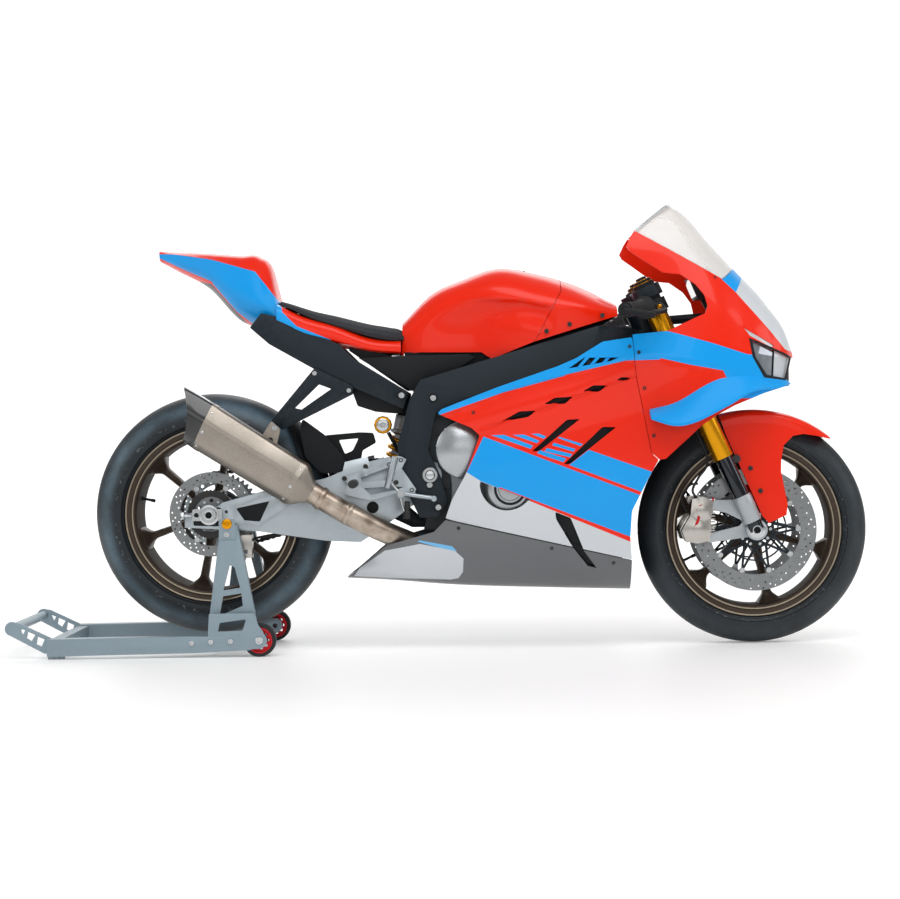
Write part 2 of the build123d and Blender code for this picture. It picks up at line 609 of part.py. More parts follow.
# ---- subframe, tail and seat ----
subframe_outline = [(-470, 843), (-420, 799), (-303, 732), (-205, 683), (-74, 625), (-61, 669), (-201, 757),
                    (-240, 797), (-399, 862), (-404, 872), (-440, 880)]
nodes["subframe"] = pair(subframe_outline, 94, plate_inner) + box(-165, -140, -94, 94, 692, 712) + box(
    -440, -415, -94, 94, 830, 855)
tail_rings = [  # x, then half section of (y, z)
    (-716, [(0, 1054), (18, 1052), (26, 1040), (20, 1024), (0, 1018)]),
    (-669, [(0, 1050), (45, 1046), (62, 1032), (50, 1006), (0, 996)]),
    (-590, [(0, 1046), (58, 1042), (84, 1018), (66, 968), (0, 950)]),
    (-500, [(0, 1038), (62, 1034), (96, 990), (84, 884), (0, 862)]),
    (-445, [(0, 1032), (64, 1028), (98, 975), (98, 872), (0, 862)]),
    (-400, [(0, 922), (66, 918), (98, 900), (98, 866), (0, 860)]),
]
nodes["tail_cowl"] = loft_rings([mirrored_ring(x, half) for x, half in tail_rings]) - nodes["subframe"]
seat_base_rings = [  # x, then half section of (y, z)
    (-398, [(0, 905), (70, 905), (112, 892), (112, 862), (0, 862)]),
    (-250, [(0, 850), (80, 850), (118, 838), (118, 800), (0, 800)]),
    (-160, [(0, 815), (84, 815), (118, 800), (118, 770), (0, 770)]),
    (-82, [(0, 806), (84, 806), (112, 794), (112, 768), (0, 768)]),
]
nodes["seat_base"] = loft_rings([mirrored_ring(x, half) for x, half in seat_base_rings]) - nodes["subframe"]
pad_rings = [
    (-392, [(0, 914), (60, 913), (96, 904), (96, 901), (70, 906), (0, 906)]),
    (-250, [(0, 874), (76, 872), (112, 857), (112, 844), (80, 852), (0, 852)]),
    (-160, [(0, 850), (80, 848), (112, 826), (112, 806), (80, 817), (0, 817)]),
    (-84, [(0, 834), (78, 830), (106, 813), (106, 801), (80, 808), (0, 808)]),
]
nodes["seat_pad"] = loft_rings([mirrored_ring(x, half) for x, half in pad_rings])
nodes["under_tray"] = slab([(-214, 690), (-195, 636), (-150, 621), (-76, 614), (-70, 650), (-130, 690)], -94, 94)
nodes["under_tray"] = nodes["under_tray"] - box(-116, -40, -50, 50, 600, 700)
nodes["side_covers"] = pair([(-190, 760), (-90, 764), (125, 766), (60, 722), (-55, 674)], 100, 104)

# ---- tank ----
tank_rings = [  # x, then half section of (y, z)
    (-77, [(0, 853), (45, 850), (72, 832), (80, 800), (80, 768)]),
    (0, [(0, 930), (60, 920), (96, 880), (98, 820), (96, 768)]),
    (80, [(0, 965), (75, 953), (120, 915), (106, 850), (100, 768)]),
    (170, [(0, 992), (85, 980), (150, 925), (132, 850), (120, 745)]),
    (270, [(0, 977), (90, 965), (165, 910), (160, 850), (148, 775)]),
    (380, [(0, 943), (90, 932), (160, 892), (158, 862), (149, 800)]),
    (480, [(0, 893), (70, 888), (116, 876), (128, 866), (130, 836)]),
]
tank = loft_rings([mirrored_ring(x, half) for x, half in tank_rings])
tank = tank - nodes["main_frame"]
front_zone = slab([(336, 1100), (336, 924), (266, 794), (266, 600), (600, 600), (600, 1100)], -200, 200)
rear_zone = slab([(335, 1100), (335, 924), (265, 794), (265, 600), (-200, 600), (-200, 1100)], -200, 200)
nodes["fuel_tank"] = tank & rear_zone
nodes["tank_front_cover"] = tank & front_zone
nodes["side_covers"] = nodes["side_covers"] - nodes["fuel_tank"]

# ---- fairing skin ----
nose_rings = [  # x, then half section of (y, z): crown, brow, shoulder, belt, edge
    (500, [(0, 1150), (75, 1125), (125, 1070), (152, 950), (186, 800), (216, 694), (213, 430)]),
    (640, [(0, 1157), (70, 1135), (118, 1060), (160, 930), (200, 800), (216, 700), (206, 430)]),
    (735, [(0, 1052), (65, 1035), (120, 985), (165, 890), (192, 785), (200, 700), (190, 430)]),
    (792, [(0, 988), (60, 972), (115, 930), (155, 850), (180, 765), (184, 700), (172, 430)]),
    (876, [(0, 891), (55, 880), (100, 850), (130, 805), (145, 748), (140, 700), (120, 430)]),
    (923, [(0, 816), (45, 810), (75, 795), (90, 770), (95, 745), (90, 715), (70, 430)]),
    (941, [(0, 768), (25, 764), (40, 758), (48, 750), (50, 742), (46, 730), (35, 430)]),
]


def shelled(rings, wall, open_low):
    """Skin of even wall: outer loft less an inner one that is open below."""
    outer = loft_rings([mirrored_ring(x, half + [(0, half[-1][1])]) for x, half in rings])
    inner_rings = []
    for index, (x, half) in enumerate(rings):
        inner = [(max(y - wall, 0), z - wall * (1 if y < 60 else 0.5)) for y, z in half]
        inner[0] = (0, half[0][1] - wall)
        inner[-1] = (half[-1][0] - wall, half[-1][1] - open_low)
        place = x
        if index == 0:
            place = x - 1
        if index == len(rings) - 1:
            place = x - wall
        inner_rings.append(mirrored_ring(place, inner + [(0, half[-1][1] - open_low)]))
    return outer - loft_rings(inner_rings)


panel_seam = [(513, 799), (520, 698), (536, 612), (556, 504), (575, 487)]
belly_seam = [(505, 231), (30, 341)]
bubble = shelled(nose_rings, shell, 10)
nose_form = loft_rings([mirrored_ring(x, half + [(0, half[-1][1])]) for x, half in nose_rings])
screen_zone = slab([(527, 1078), (630, 1166), (700, 1166), (830, 1000), (793, 983), (750, 946)], -240, 240)
nose_top = [(792, 981), (750, 944), (527, 1076), (509, 1044), (502, 1028), (560, 990), (590, 962), (633, 960),
            (678, 932), (703, 899), (709, 874), (702, 853), (600, 812), (512, 808)]
nose_low = [(592, 489), (686, 573), (725, 596), (772, 619), (850, 650), (894, 688), (938, 730), (960, 790), (840, 1000)]
nose_zone = slab(nose_top + [(x + curved_seat, z) for x, z in panel_seam] + nose_low, -240, 240)
nodes["windscreen"] = bubble & screen_zone
lamp_zone = slab([(819, 790), (905, 746), (890, 690), (849, 703)], 40, 240) + slab(
    [(819, 790), (905, 746), (890, 690), (849, 703)], -240, -40)
nose = bubble & nose_zone
nodes["headlamps"] = nose & lamp_zone
nodes["nose_fairing"] = nose - lamp_zone

def side_skin(side, wall):
    """Side panel skin: the outer edge and the same edge moved inward by the wall."""
    rings = []
    for x, edge in side_rings:
        outer = [(x, side * y, z) for y, z in edge]
        inner = [(x, side * (y - wall), z) for y, z in reversed(edge)]
        rings.append(outer + inner)
    return loft_rings(rings)


side_zone = slab([(13, 623), (164, 679), (321, 728), (369, 748), (437, 789)] + panel_seam
                 + [(553, 451), (505, 358), (500, 289)] + belly_seam
                 + [(48, 393), (84, 457), (121, 555), (29, 608)], -240, 240)
louvres = [
    [(174, 589), (196, 603), (268, 622), (250, 608)],
    [(282, 630), (300, 644), (360, 652), (344, 640)],
    [(385, 662), (398, 676), (440, 680), (424, 668)],
    [(469, 686), (480, 699), (505, 699), (492, 690)],
    [(248, 514), (260, 508), (380, 592), (366, 600)],
    [(325, 477), (338, 471), (473, 568), (459, 576)],
    [(350, 716), (366, 730), (480, 752), (492, 746)],
    [(338, 335), (362, 325), (428, 240), (412, 250)],
]
louvre_room = pair(louvres[0], 100, 240)
for outline in louvres[1:]:
    louvre_room = louvre_room + pair(outline, 100, 240)
cover_port = rod((196, -240, 417), (196, 240, 417), 62)
for side, name in side_names:
    nodes[f"side_fairing_{name}"] = (side_skin(side, shell) & side_zone) - louvre_room - cover_port

belly_rings = [  # x, then half section of (y, z) from top edge to keel
    (-235, [(60, 216), (58, 200), (40, 186)]),
    (-123, [(150, 300), (146, 236), (95, 184)]),
    (30, [(175, 352), (172, 262), (112, 172)]),
    (300, [(201, 352), (192, 252), (118, 160)]),
    (506, [(205, 352), (192, 242), (110, 152)]),
]


def trough(rings, drop, rise):
    """Closed loft of trough sections, set in by drop and raised by rise."""
    loops = []
    for x, half in rings:
        edge = [(y - drop, z + rise * (index + 1) / len(half)) for index, (y, z) in enumerate(half)]
        if rise:
            edge[0] = (edge[0][0], edge[0][1] + 30)
        loops.append([(x, y, z) for y, z in edge] + [(x, -y, z) for y, z in reversed(edge)])
    return loft_rings(loops)


belly_inner = [(x + (shell if index == 0 else 1 if index == len(belly_rings) - 1 else 0), half)
               for index, (x, half) in enumerate(belly_rings)]
belly = trough(belly_rings, 0, 0) - trough(belly_inner, shell, shell)
belly_zone = slab([(-231, 184), (-152, 253), (-123, 275), (0, 310)]
                  + [(x, z - curved_seat) for x, z in reversed(belly_seam)] + [(505, 120), (-240, 120)], -240, 240)
nodes["belly_pan"] = belly & belly_zone

# ---- fairing stay and display ----
stay = rod(fork_point(head_top - 60, 0, fork_offset - head_tube_radius + 4), (742, 0, 858), 12)
stay = stay + (rod((742, -200, 858), (742, 200, 858), 8) & nose_form) - bubble - nodes["main_frame"]
nodes["fairing_stay"] = stay + rod((742, 0, 858), (716, 0, 905), 9)
nodes["display"] = slab([(694, 905), (722, 905), (690, 968), (672, 958)], -62, 62) - nodes["fairing_stay"]

# ---- winglets ----
winglet_wall = 8.0
winglet_stations = [  # x, inner (y, z) on the fairing, outer (y, z) at the free edge
    (892, (108, 688), (132, 671)),
    (815, (158, 712), (198, 661)),
    (745, (182, 708), (230, 624)),
    (606, (206, 630), (266, 579)),
    (552, (206, 616), (262, 596)),
]
winglets = []
for side in sides:
    rings = []
    for x, (inner_y, inner_z), (outer_y, outer_z) in winglet_stations:
        rings.append([(x, side * inner_y, inner_z), (x, side * outer_y, outer_z),
                      (x, side * (outer_y - 3), outer_z - winglet_wall), (x, side * inner_y, inner_z - 2 * winglet_wall)])
    winglets.append(loft_rings(rings) - nose_form)
nodes["winglets"] = winglets[0] + winglets[1]

# ---- radiator, exhaust ----
radiator = slab([(452, 430), (480, 424), (516, 690), (488, 696)], -165, 165)
radiator_tabs = pair([(478, 690), (504, 690), (504, 760), (478, 760)], 76, 92)
nodes["radiator"] = radiator + radiator_tabs - nodes["main_frame"]
exhaust_runs = [  # start, end, radius
    ((-310, -181, 416), (-170, -172, 332), 28.5),
    ((-170, -172, 332), (-60, -95, 280), 28.5),
    ((-60, -95, 280), (60, -30, 222), 28.5),
    ((60, -30, 222), (330, 0, 212), 28.5),
]
exhaust = rod(*exhaust_runs[0])
for start, end, radius in exhaust_runs[1:]:
    exhaust = exhaust + rod(start, end, radius) + Pos(*start) * Sphere(radius)
for y in (-80, 0, 80):
    exhaust = exhaust + rod((330, 0, 212), (412, y * 0.7, 380), 19) + Pos(412, y * 0.7, 380) * Sphere(19)
    exhaust = exhaust + rod((412, y * 0.7, 380), (434, y, 560), 19) + Pos(434, y, 560) * Sphere(19)
    exhaust = exhaust + rod((434, y, 560), (392, y, 640), 19)
nodes["exhaust_pipe"] = exhaust + Pos(330, 0, 212) * Sphere(28.5) - nodes["engine_block"]
muffler_rise = math.radians(32.0)
muffler_axis = Vector(-math.cos(muffler_rise), 0, math.sin(muffler_rise))
muffler_up = Vector(math.sin(muffler_rise), 0, math.cos(muffler_rise))
muffler_length = 285.0
muffler_start = Vector(-345, -190, 434)


def muffler_ring(along, height, width):
    """Eight-sided muffler section at a distance along the axis."""
    centre = muffler_start + muffler_axis * along
    half = [(0, height / 2), (width * 0.30, height / 2), (width / 2, height * 0.12), (width * 0.42, -height * 0.34),
            (width * 0.2, -height / 2)]
    ring = []
    for y, z in half + [(-y, z) for y, z in reversed(half) if y > 0]:
        point = centre + muffler_up * z
        ring.append((point.X, point.Y + y, point.Z))
    return ring


hanger_plane = plate_inner + 6.0
can = loft_rings([muffler_ring(0, 108, 100), muffler_ring(muffler_length, 110, 100)])
cone = loft_rings([muffler_ring(-38, 60, 58), muffler_ring(0, 108, 100)])
muffler_lug = slab([(-446, 548), (-402, 520), (-388, 580), (-412, 600)], -178, -hanger_plane)
nodes["muffler"] = can + cone + muffler_lug
cap_start = muffler_start + muffler_axis * (muffler_length + 8)
cap_end = muffler_start + muffler_axis * (muffler_length + 45)
cap = loft_rings([muffler_ring(muffler_length + 0.5, 110, 100), muffler_ring(muffler_length + 33, 100, 94)])
nodes["muffler_cap"] = cap - rod((cap_start.X, cap_start.Y, cap_start.Z), (cap_end.X, cap_end.Y, cap_end.Z), 36)
hanger_arm = slab([(-303, 736), (-205, 687), (-205, 666), (-389, 577), (-417, 602)], -hanger_plane, -plate_inner)
hanger_arm = hanger_arm - slab([(-292, 693), (-261, 681), (-338, 629), (-355, 633)], -hanger_plane - 1, 1 - plate_inner)
nodes["exhaust_hanger"] = hanger_arm

# ---- hugger ----
hugger_gap = 11.0
hugger_wall = 3.0
hugger_spread = math.radians(60.0)      # wrap either side of the crown
crown_centre = rear_tyre_radius - crown_radius(rear_tyre_half)


def hugger_arc(reach):
    """Arc concentric with the rear tyre's crown, as (y, radius)."""
    side_y = reach * math.sin(hugger_spread)
    side_r = crown_centre + reach * math.cos(hugger_spread)
    return ThreePointArc((side_y, side_r), (0, crown_centre + reach), (-side_y, side_r))


def hugger_turned(edges):
    """Section in (y, radius) turned about the rear axle."""
    placed = Plane(origin=(rear_axle_x, 0, rear_axle_z), x_dir=(0, 1, 0), z_dir=(1, 0, 0)) * Face(Wire(edges))
    return Solid.revolve(placed, 360, Axis((rear_axle_x, 0, rear_axle_z), (0, 1, 0)))


inside = hugger_arc(crown_radius(rear_tyre_half) + hugger_gap)
outside = hugger_arc(crown_radius(rear_tyre_half) + hugger_gap + hugger_wall)
hugger = hugger_turned([inside.edge(), Line(inside @ 1, outside @ 1).edge(), outside.edge(),
                        Line(outside @ 0, inside @ 0).edge()])
room_edges = Polyline(inside @ 1, ((inside @ 1).X, rear_hub_radius), ((inside @ 0).X, rear_hub_radius), inside @ 0)
tyre_room = hugger_turned([inside.edge(), *room_edges.edges()])
hugger = hugger & slab(about([(238, 137), (304, 114), (310, 76), (380, 76), (380, 200), (250, 290), (180, 290)],
                             rear_axle_x, rear_axle_z), -120, 120)
hugger_brace = about([(229, 190), (306, 202), (388, 208), (424, 206), (431, 180), (395, 160), (385, 98), (347, 98),
                      (300, 150)], rear_axle_x, rear_axle_z)
hugger_window = about([(334, 188), (385, 192), (369, 160), (349, 152)], rear_axle_x, rear_axle_z)
mounts = slab(hugger_brace, -70, -64) - slab(hugger_window, -72, -62) + box(
    rear_axle_x + 312, brace_rear, -30, 30, brace_top - 26, brace_top - 4)
nodes["rear_hugger"] = hugger + (mounts - tyre_room) - nodes["swingarm"]

# ---- footrests ----
hanger_plate = [(-236, 455), (-160, 476), (-90, 506), (-68, 497), (-80, 473), (-44, 420), (-52, 403), (-90, 411),
                (-161, 393), (-230, 408), (-218, 436)]
hanger_windows = [
    [(-186, 452), (-112, 478), (-98, 462), (-118, 444), (-182, 440)],
    [(-178, 424), (-104, 428), (-76, 426), (-96, 418), (-160, 407)],
]
peg_x = -202.0
peg_z = 437.0
peg_radius = 10.0
peg_end = 248.0
toe_x = 2.0
toe_z = 396.0
hanger_thick = 9.0
hanger_face = plate_outer + hanger_thick
footrests = []
for side in sides:
    plate = slab(hanger_plate, side * plate_outer, side * hanger_face)
    for window in hanger_windows:
        plate = plate - slab(window, side * (plate_outer - 1), side * (hanger_face + 1))
    for x, z in ((-83, 494), (-56, 415), (-109, 487), (-174, 465)):
        plate = plate + rod((x, side * (hanger_face - 1), z), (x, side * (hanger_face + 4), z), 10)
    heel_guard = slab([(-236, 455), (-160, 476), (-168, 505), (-226, 492)], side * (plate_outer + 3),
                      side * (plate_outer + 7))
    peg = rod((peg_x, side * (hanger_face - 1), peg_z), (peg_x, side * peg_end, peg_z), peg_radius)
    toe_plane = hanger_face + 6
    toe_lever = rod((-83, side * toe_plane, 409), (toe_x, side * toe_plane, toe_z), 6)
    toe_lever = toe_lever + rod((-83, side * (plate_outer + 1), 409), (-83, side * (toe_plane + 8), 409), 11)
    toe_lever = toe_lever + rod((toe_x, side * (toe_plane - 5), toe_z), (toe_x, side * (toe_plane + 32), toe_z), 7)
    footrests.append(plate + heel_guard + peg + toe_lever)
master_cylinder = rod((-118, -hanger_face - 7, 424), (-96, -hanger_face - 7, 504), 8.5)
nodes["footrests"] = footrests[0] + footrests[1] + master_cylinder

# ---- rear caliper ----
disc_y = rear_disc_plane
caliper = box(rear_axle_x + 24, rear_axle_x + 106, disc_y - 19, disc_y + 16, rear_axle_z - 114, rear_axle_z - 54)
for reach, radius in ((5, rear_disc_radius + 5), (30, rear_disc_radius - 38)):
    caliper = caliper - rod((rear_axle_x, disc_y - reach, rear_axle_z), (rear_axle_x, disc_y + reach, rear_axle_z), radius)
bracket_plane = disc_y - 18.7
bracket_outline = [(-18, -20), (-18, 20), (15, 20), (60, -40), (80, -98), (40, -98), (20, -30)]
bracket = slab(about(bracket_outline, rear_axle_x, rear_axle_z), bracket_plane, bracket_plane + 7)
nodes["rear_caliper"] = caliper + bracket - rod((rear_axle_x, -140, rear_axle_z), (rear_axle_x, 140, rear_axle_z),
                                                rear_axle_radius + curved_seat)

# ---- paddock stand ----
arm_low = 8.0
arm_rear = spool_x - 466
arm_inner = stand_arm_plane - 10
stand = pair([(arm_rear, arm_low), (arm_rear, 52), (spool_x - 101, 55), (spool_x + 54, 52), (spool_x + 54, 18),
              (spool_x - 101, 12)], arm_inner, stand_arm_plane + 25)
upright = about([(-59, 14), (-57, 72), (-23, spool_z - 12), (24, spool_z - 12), (69, 85), (94, 40), (76, 16)], spool_x, 0)
windows = [  # round the spool, from top to bottom
    [(1, 233), (13, 229), (27, 175), (-16, 169)],
    [(-17, 154), (30, 161), (33, 129), (-27, 104)],
    [(-28, 86), (36, 93), (25, 60), (-32, 61)],
]
flanges = [  # front and rear flange of the upright
    [(24, spool_z - 12), (19, spool_z - 12), (57, 110), (63, 110)],
    [(-23, spool_z - 12), (-18, spool_z - 12), (-48, 90), (-53, 90)],
]
post_wall = 5.0
flange_reach = 26.0
posts = pair(upright, stand_arm_plane - post_wall, stand_arm_plane)
for window in windows:
    posts = posts - pair(about(window, spool_x, 0), stand_arm_plane - 20, stand_arm_plane + 20)
for flange in flanges:
    posts = posts + pair(about(flange, spool_x, 0), stand_arm_plane - flange_reach, stand_arm_plane)
stand = stand + posts
handle_plate = about([(-4, 17), (18, 15), (99, -24), (99, -66), (82, -64), (-11, -14)], stand_handle_x, stand_handle_z)
handle_windows = [
    [(21, 2), (34, -4), (28, -16)],
    [(41, -7), (60, -16), (50, -32), (38, -24)],
    [(66, -20), (84, -28), (76, -46), (62, -40)],
]
handle_outer = stand_arm_plane + 2
handle_inner = stand_arm_plane - 4
handle_sides = pair(handle_plate, handle_inner, handle_outer)
for side in sides:
    handle_sides = handle_sides + rod((stand_handle_x, side * handle_inner, stand_handle_z),
                                      (stand_handle_x, side * handle_outer, stand_handle_z), stand_handle_radius)
for window in handle_windows:
    handle_sides = handle_sides - pair(about(window, stand_handle_x, stand_handle_z), handle_inner - 1, handle_outer + 1)
stand = stand + handle_sides
stand = stand + rod((stand_handle_x, -stand_arm_plane, stand_handle_z),
                    (stand_handle_x, stand_arm_plane, stand_handle_z), 12)
stand = stand + box(arm_rear, arm_rear + 30, -stand_arm_plane, stand_arm_plane, arm_low, 48)
stand = stand + pair([(arm_rear, 0), (arm_rear, arm_low + 1), (arm_rear + 40, arm_low + 1), (arm_rear + 40, 0)],
                     arm_inner + 2, stand_arm_plane + 12)
cradle_inner = 146.0
for side in sides:
    cradle_ends = (side * cradle_inner, side * stand_arm_plane)
    stand = stand + box(spool_x - 22, spool_x + 22, min(cradle_ends), max(cradle_ends), spool_z - 30, spool_z)
stand = stand - rod((spool_x, -240, spool_z), (spool_x, 240, spool_z), spool_radius + curved_seat)
roller_room = stand_roller_half + 1
lug_half = stand_roller_half + 5.5
lug_outline = [(-52, -24), (-52, 18), (8, 20), (20, 0), (8, -20)]
slot_outline = [(-52, -47), (-52, 50), (48, 50), (48, -47)]
stand = stand + pair(about(lug_outline, stand_roller_x, stand_roller_radius), stand_roller_plane - lug_half,
                     stand_roller_plane + lug_half)
for side in sides:
    stand = stand + rod((stand_roller_x, side * (stand_roller_plane - lug_half), stand_roller_radius),
                        (stand_roller_x, side * (stand_roller_plane + lug_half), stand_roller_radius), 20)
stand = stand - pair(about(slot_outline, stand_roller_x, stand_roller_radius), stand_roller_plane - roller_room,
                     stand_roller_plane + roller_room)
stand = stand - rod((stand_roller_x, -240, stand_roller_radius), (stand_roller_x, 240, stand_roller_radius),
                    stand_axle_radius + bearing_gap)
nodes["stand_frame"] = stand
roller_pin = rod((stand_roller_x, -213, stand_roller_radius), (stand_roller_x, 213, stand_roller_radius), stand_axle_radius)
for side in sides:
    roller_pin = roller_pin + pipe((stand_roller_x, side * (stand_roller_plane - stand_roller_half), stand_roller_radius),
                                   (stand_roller_x, side * (stand_roller_plane + stand_roller_half), stand_roller_radius),
                                   stand_roller_radius, stand_axle_radius)
nodes["stand_rollers"] = roller_pin

# ---- export ----
front_reach = front_axle_x + front_tyre_radius
rear_reach = stand_handle_x - stand_handle_radius
frame_shift = -(front_reach + rear_reach) / 2
for name, shape in nodes.items():
    export_step(Pos(frame_shift, 0, 0) * shape, f"parts/{name}.step")
print("frame shift", round(frame_shift, 2))
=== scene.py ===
import bpy
import bmesh
import json
import math
import numpy as np
from mathutils import Matrix, Vector


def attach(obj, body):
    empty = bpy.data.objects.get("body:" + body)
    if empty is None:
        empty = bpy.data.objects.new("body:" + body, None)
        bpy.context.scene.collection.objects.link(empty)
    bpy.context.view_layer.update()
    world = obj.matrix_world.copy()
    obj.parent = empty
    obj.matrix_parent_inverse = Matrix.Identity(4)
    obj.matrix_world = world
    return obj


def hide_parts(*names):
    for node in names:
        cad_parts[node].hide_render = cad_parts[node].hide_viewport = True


# Race sport bike on its rear paddock stand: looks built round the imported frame.
# Tables are in millimetres from the bike's own datum; place() turns them into the frame's metres.

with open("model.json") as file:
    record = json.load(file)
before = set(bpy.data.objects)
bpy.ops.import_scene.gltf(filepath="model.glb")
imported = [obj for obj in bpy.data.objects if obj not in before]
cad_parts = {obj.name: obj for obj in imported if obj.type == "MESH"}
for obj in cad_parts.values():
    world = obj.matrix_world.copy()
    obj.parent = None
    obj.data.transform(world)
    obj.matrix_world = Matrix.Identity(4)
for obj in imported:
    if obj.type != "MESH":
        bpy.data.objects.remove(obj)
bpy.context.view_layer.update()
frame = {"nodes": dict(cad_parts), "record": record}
bodyOf = {node: body for body, members in frame["record"]["behaviour"]["bodies"].items() for node in members}

bike = {
    "shift": -15.75,
    "frontAxle": (833.5, 300.0),
    "rearAxle": (-580.5, 360.0),
    "rake": math.radians(24.0),
    "chainPlane": 103.5,
    "driveSprocket": (66.0, 468.0),
}
frontX, frontZ = bike["frontAxle"]
rearX, rearZ = bike["rearAxle"]


def fullTurn(count):
    # even angles round a full circle
    return np.linspace(0, 2 * math.pi, count, endpoint=False)


def place(points):
    # bike datum in millimetres to the row frame in metres
    return (np.asarray(points, float).reshape(-1, 3) + (bike["shift"], 0, 0)) / 1000


def forkPoint(s, y, back=0.0):
    # s up the fork line from the axle, back behind it at a right angle
    rake = bike["rake"]
    return np.array((frontX - s * math.sin(rake) - back * math.cos(rake), y,
                     frontZ + s * math.cos(rake) - back * math.sin(rake)))


def gridFaces(rows, cols, closeRows=False, closeCols=False):
    # quads between neighbours on a rows x cols grid
    i = np.arange(rows if closeRows else rows - 1)
    j = np.arange(cols if closeCols else cols - 1)
    i, j = np.meshgrid(i, j, indexing="ij")
    nextI, nextJ = (i + 1) % rows, (j + 1) % cols
    return np.stack([i * cols + j, i * cols + nextJ, nextI * cols + nextJ, nextI * cols + j], -1).reshape(-1, 4)


def gridPart(points, closeRows=False, closeCols=False, caps=False):
    # a grid of points as (points, faces); caps closes both end rows with a fan to their middle
    rows, cols = points.shape[:2]
    flat = points.reshape(-1, 3)
    faces = gridFaces(rows, cols, closeRows, closeCols).tolist()
    if caps:
        flat = np.vstack([flat, points[0].mean(0), points[-1].mean(0)])
        first, last = rows * cols, rows * cols + 1
        start = (rows - 1) * cols
        faces += [[(j + 1) % cols, j, first] for j in range(cols)]
        faces += [[start + j, start + (j + 1) % cols, last] for j in range(cols)]
    return flat, faces


def joinParts(parts):
    # several (points, faces) as one
    points, faces, base = [], [], 0
    for p, f in parts:
        points.append(p)
        faces += [[v + base for v in face] for face in f]
        base += len(p)
    return np.vstack(points), faces


def shown(name, mesh, finish, like, stands, angle):
    # links a finished mesh as one piece of the model, on the body of a CAD node, and hides the CAD nodes it stands for
    mesh.materials.clear()
    mesh.materials.append(finish)
    mesh.shade_smooth()
    mesh.set_sharp_from_angle(angle=math.radians(angle))
    piece = bpy.data.objects.new(name, mesh)
    bpy.context.scene.collection.objects.link(piece)
    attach(piece, bodyOf[like])
    if stands:
        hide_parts(*stands)
    return piece


def settled(mesh, steps):
    # runs modifiers on a mesh and returns the finished mesh
    carrier = bpy.data.objects.new("carrier", mesh)
    bpy.context.scene.collection.objects.link(carrier)
    for kind, values in steps:
        modifier = carrier.modifiers.new(kind.lower(), kind)
        for key, value in values.items():
            setattr(modifier, key, value)
    carrier.update_tag()
    graph = bpy.context.evaluated_depsgraph_get()
    done = bpy.data.meshes.new_from_object(carrier.evaluated_get(graph))
    bpy.data.objects.remove(carrier)
    return done


def rawMesh(name, part, outward=True, merge=0.0):
    # (points, faces) in millimetres as a Blender mesh
    mesh = bpy.data.meshes.new(name)
    mesh.from_pydata(place(part[0]).tolist(), [], part[1])
    if outward or merge:
        work = bmesh.new()
        work.from_mesh(mesh)
        if merge:
            bmesh.ops.remove_doubles(work, verts=work.verts, dist=merge / 1000)
        if outward:
            bmesh.ops.recalc_face_normals(work, faces=work.faces)
        work.to_mesh(mesh)
        work.free()
    return mesh


def bevelStep(width):
    return ("BEVEL", {"width": width / 1000, "segments": 2, "limit_method": "ANGLE", "angle_limit": math.radians(35)})


def latheRing(profile, centre, count):
    # closed profile of (along, radius) turned about a line along Y through centre (x, z)
    profile = np.asarray(profile, float)
    turn = fullTurn(count)
    out = np.zeros((len(profile), count, 3))
    out[..., 0] = centre[0] + profile[:, 1:2] * np.cos(turn)
    out[..., 1] = profile[:, 0:1]
    out[..., 2] = centre[1] + profile[:, 1:2] * np.sin(turn)
    return gridPart(out, True, True)


def onAxis(profile, start, direction, count=32):
    # profile of (along, radius) turned about the line from start in direction
    profile = np.asarray(profile, float)
    d = np.asarray(direction, float)
    d = d / np.linalg.norm(d)
    side = np.cross(d, (0, 0, 1.0) if abs(d[2]) < 0.9 else (1.0, 0, 0))
    side = side / np.linalg.norm(side)
    up = np.cross(d, side)
    turn = fullTurn(count)
    ring = np.cos(turn)[:, None] * side + np.sin(turn)[:, None] * up
    return np.asarray(start, float) + profile[:, :1, None] * d + profile[:, 1:2, None] * ring[None]


def turnedPart(profile, start, direction, count=32):
    # open profile turned about a line, its ends closed by fans
    return gridPart(onAxis(profile, start, direction, count), closeCols=True, caps=True)


def turnedRing(profile, start, direction, count):
    # closed profile turned about a line: a ring
    return gridPart(onAxis(profile, start, direction, count), True, True)


def rodPart(start, end, radius, count=24, edge=0.8):
    # round bar with small chamfers
    start, end = np.asarray(start, float), np.asarray(end, float)
    length = np.linalg.norm(end - start)
    profile = [(0, radius - edge), (edge, radius), (length - edge, radius), (length, radius - edge)]
    return turnedPart(profile, start, end - start, count)


def curveThrough(points, per=8):
    # Catmull-Rom line through points
    p = np.asarray(points, float)
    ends = np.vstack([2 * p[0] - p[1], p, 2 * p[-1] - p[-2]])
    t = np.linspace(0, 1, per, endpoint=False)[:, None]
    runs = []
    for a, b, c, d in zip(ends[:-3], ends[1:-2], ends[2:-1], ends[3:]):
        runs.append(0.5 * (2 * b + (c - a) * t + (2 * a - 5 * b + 4 * c - d) * t ** 2 + (3 * b - a - 3 * c + d) * t ** 3))
    return np.vstack(runs + [p[-1:]])


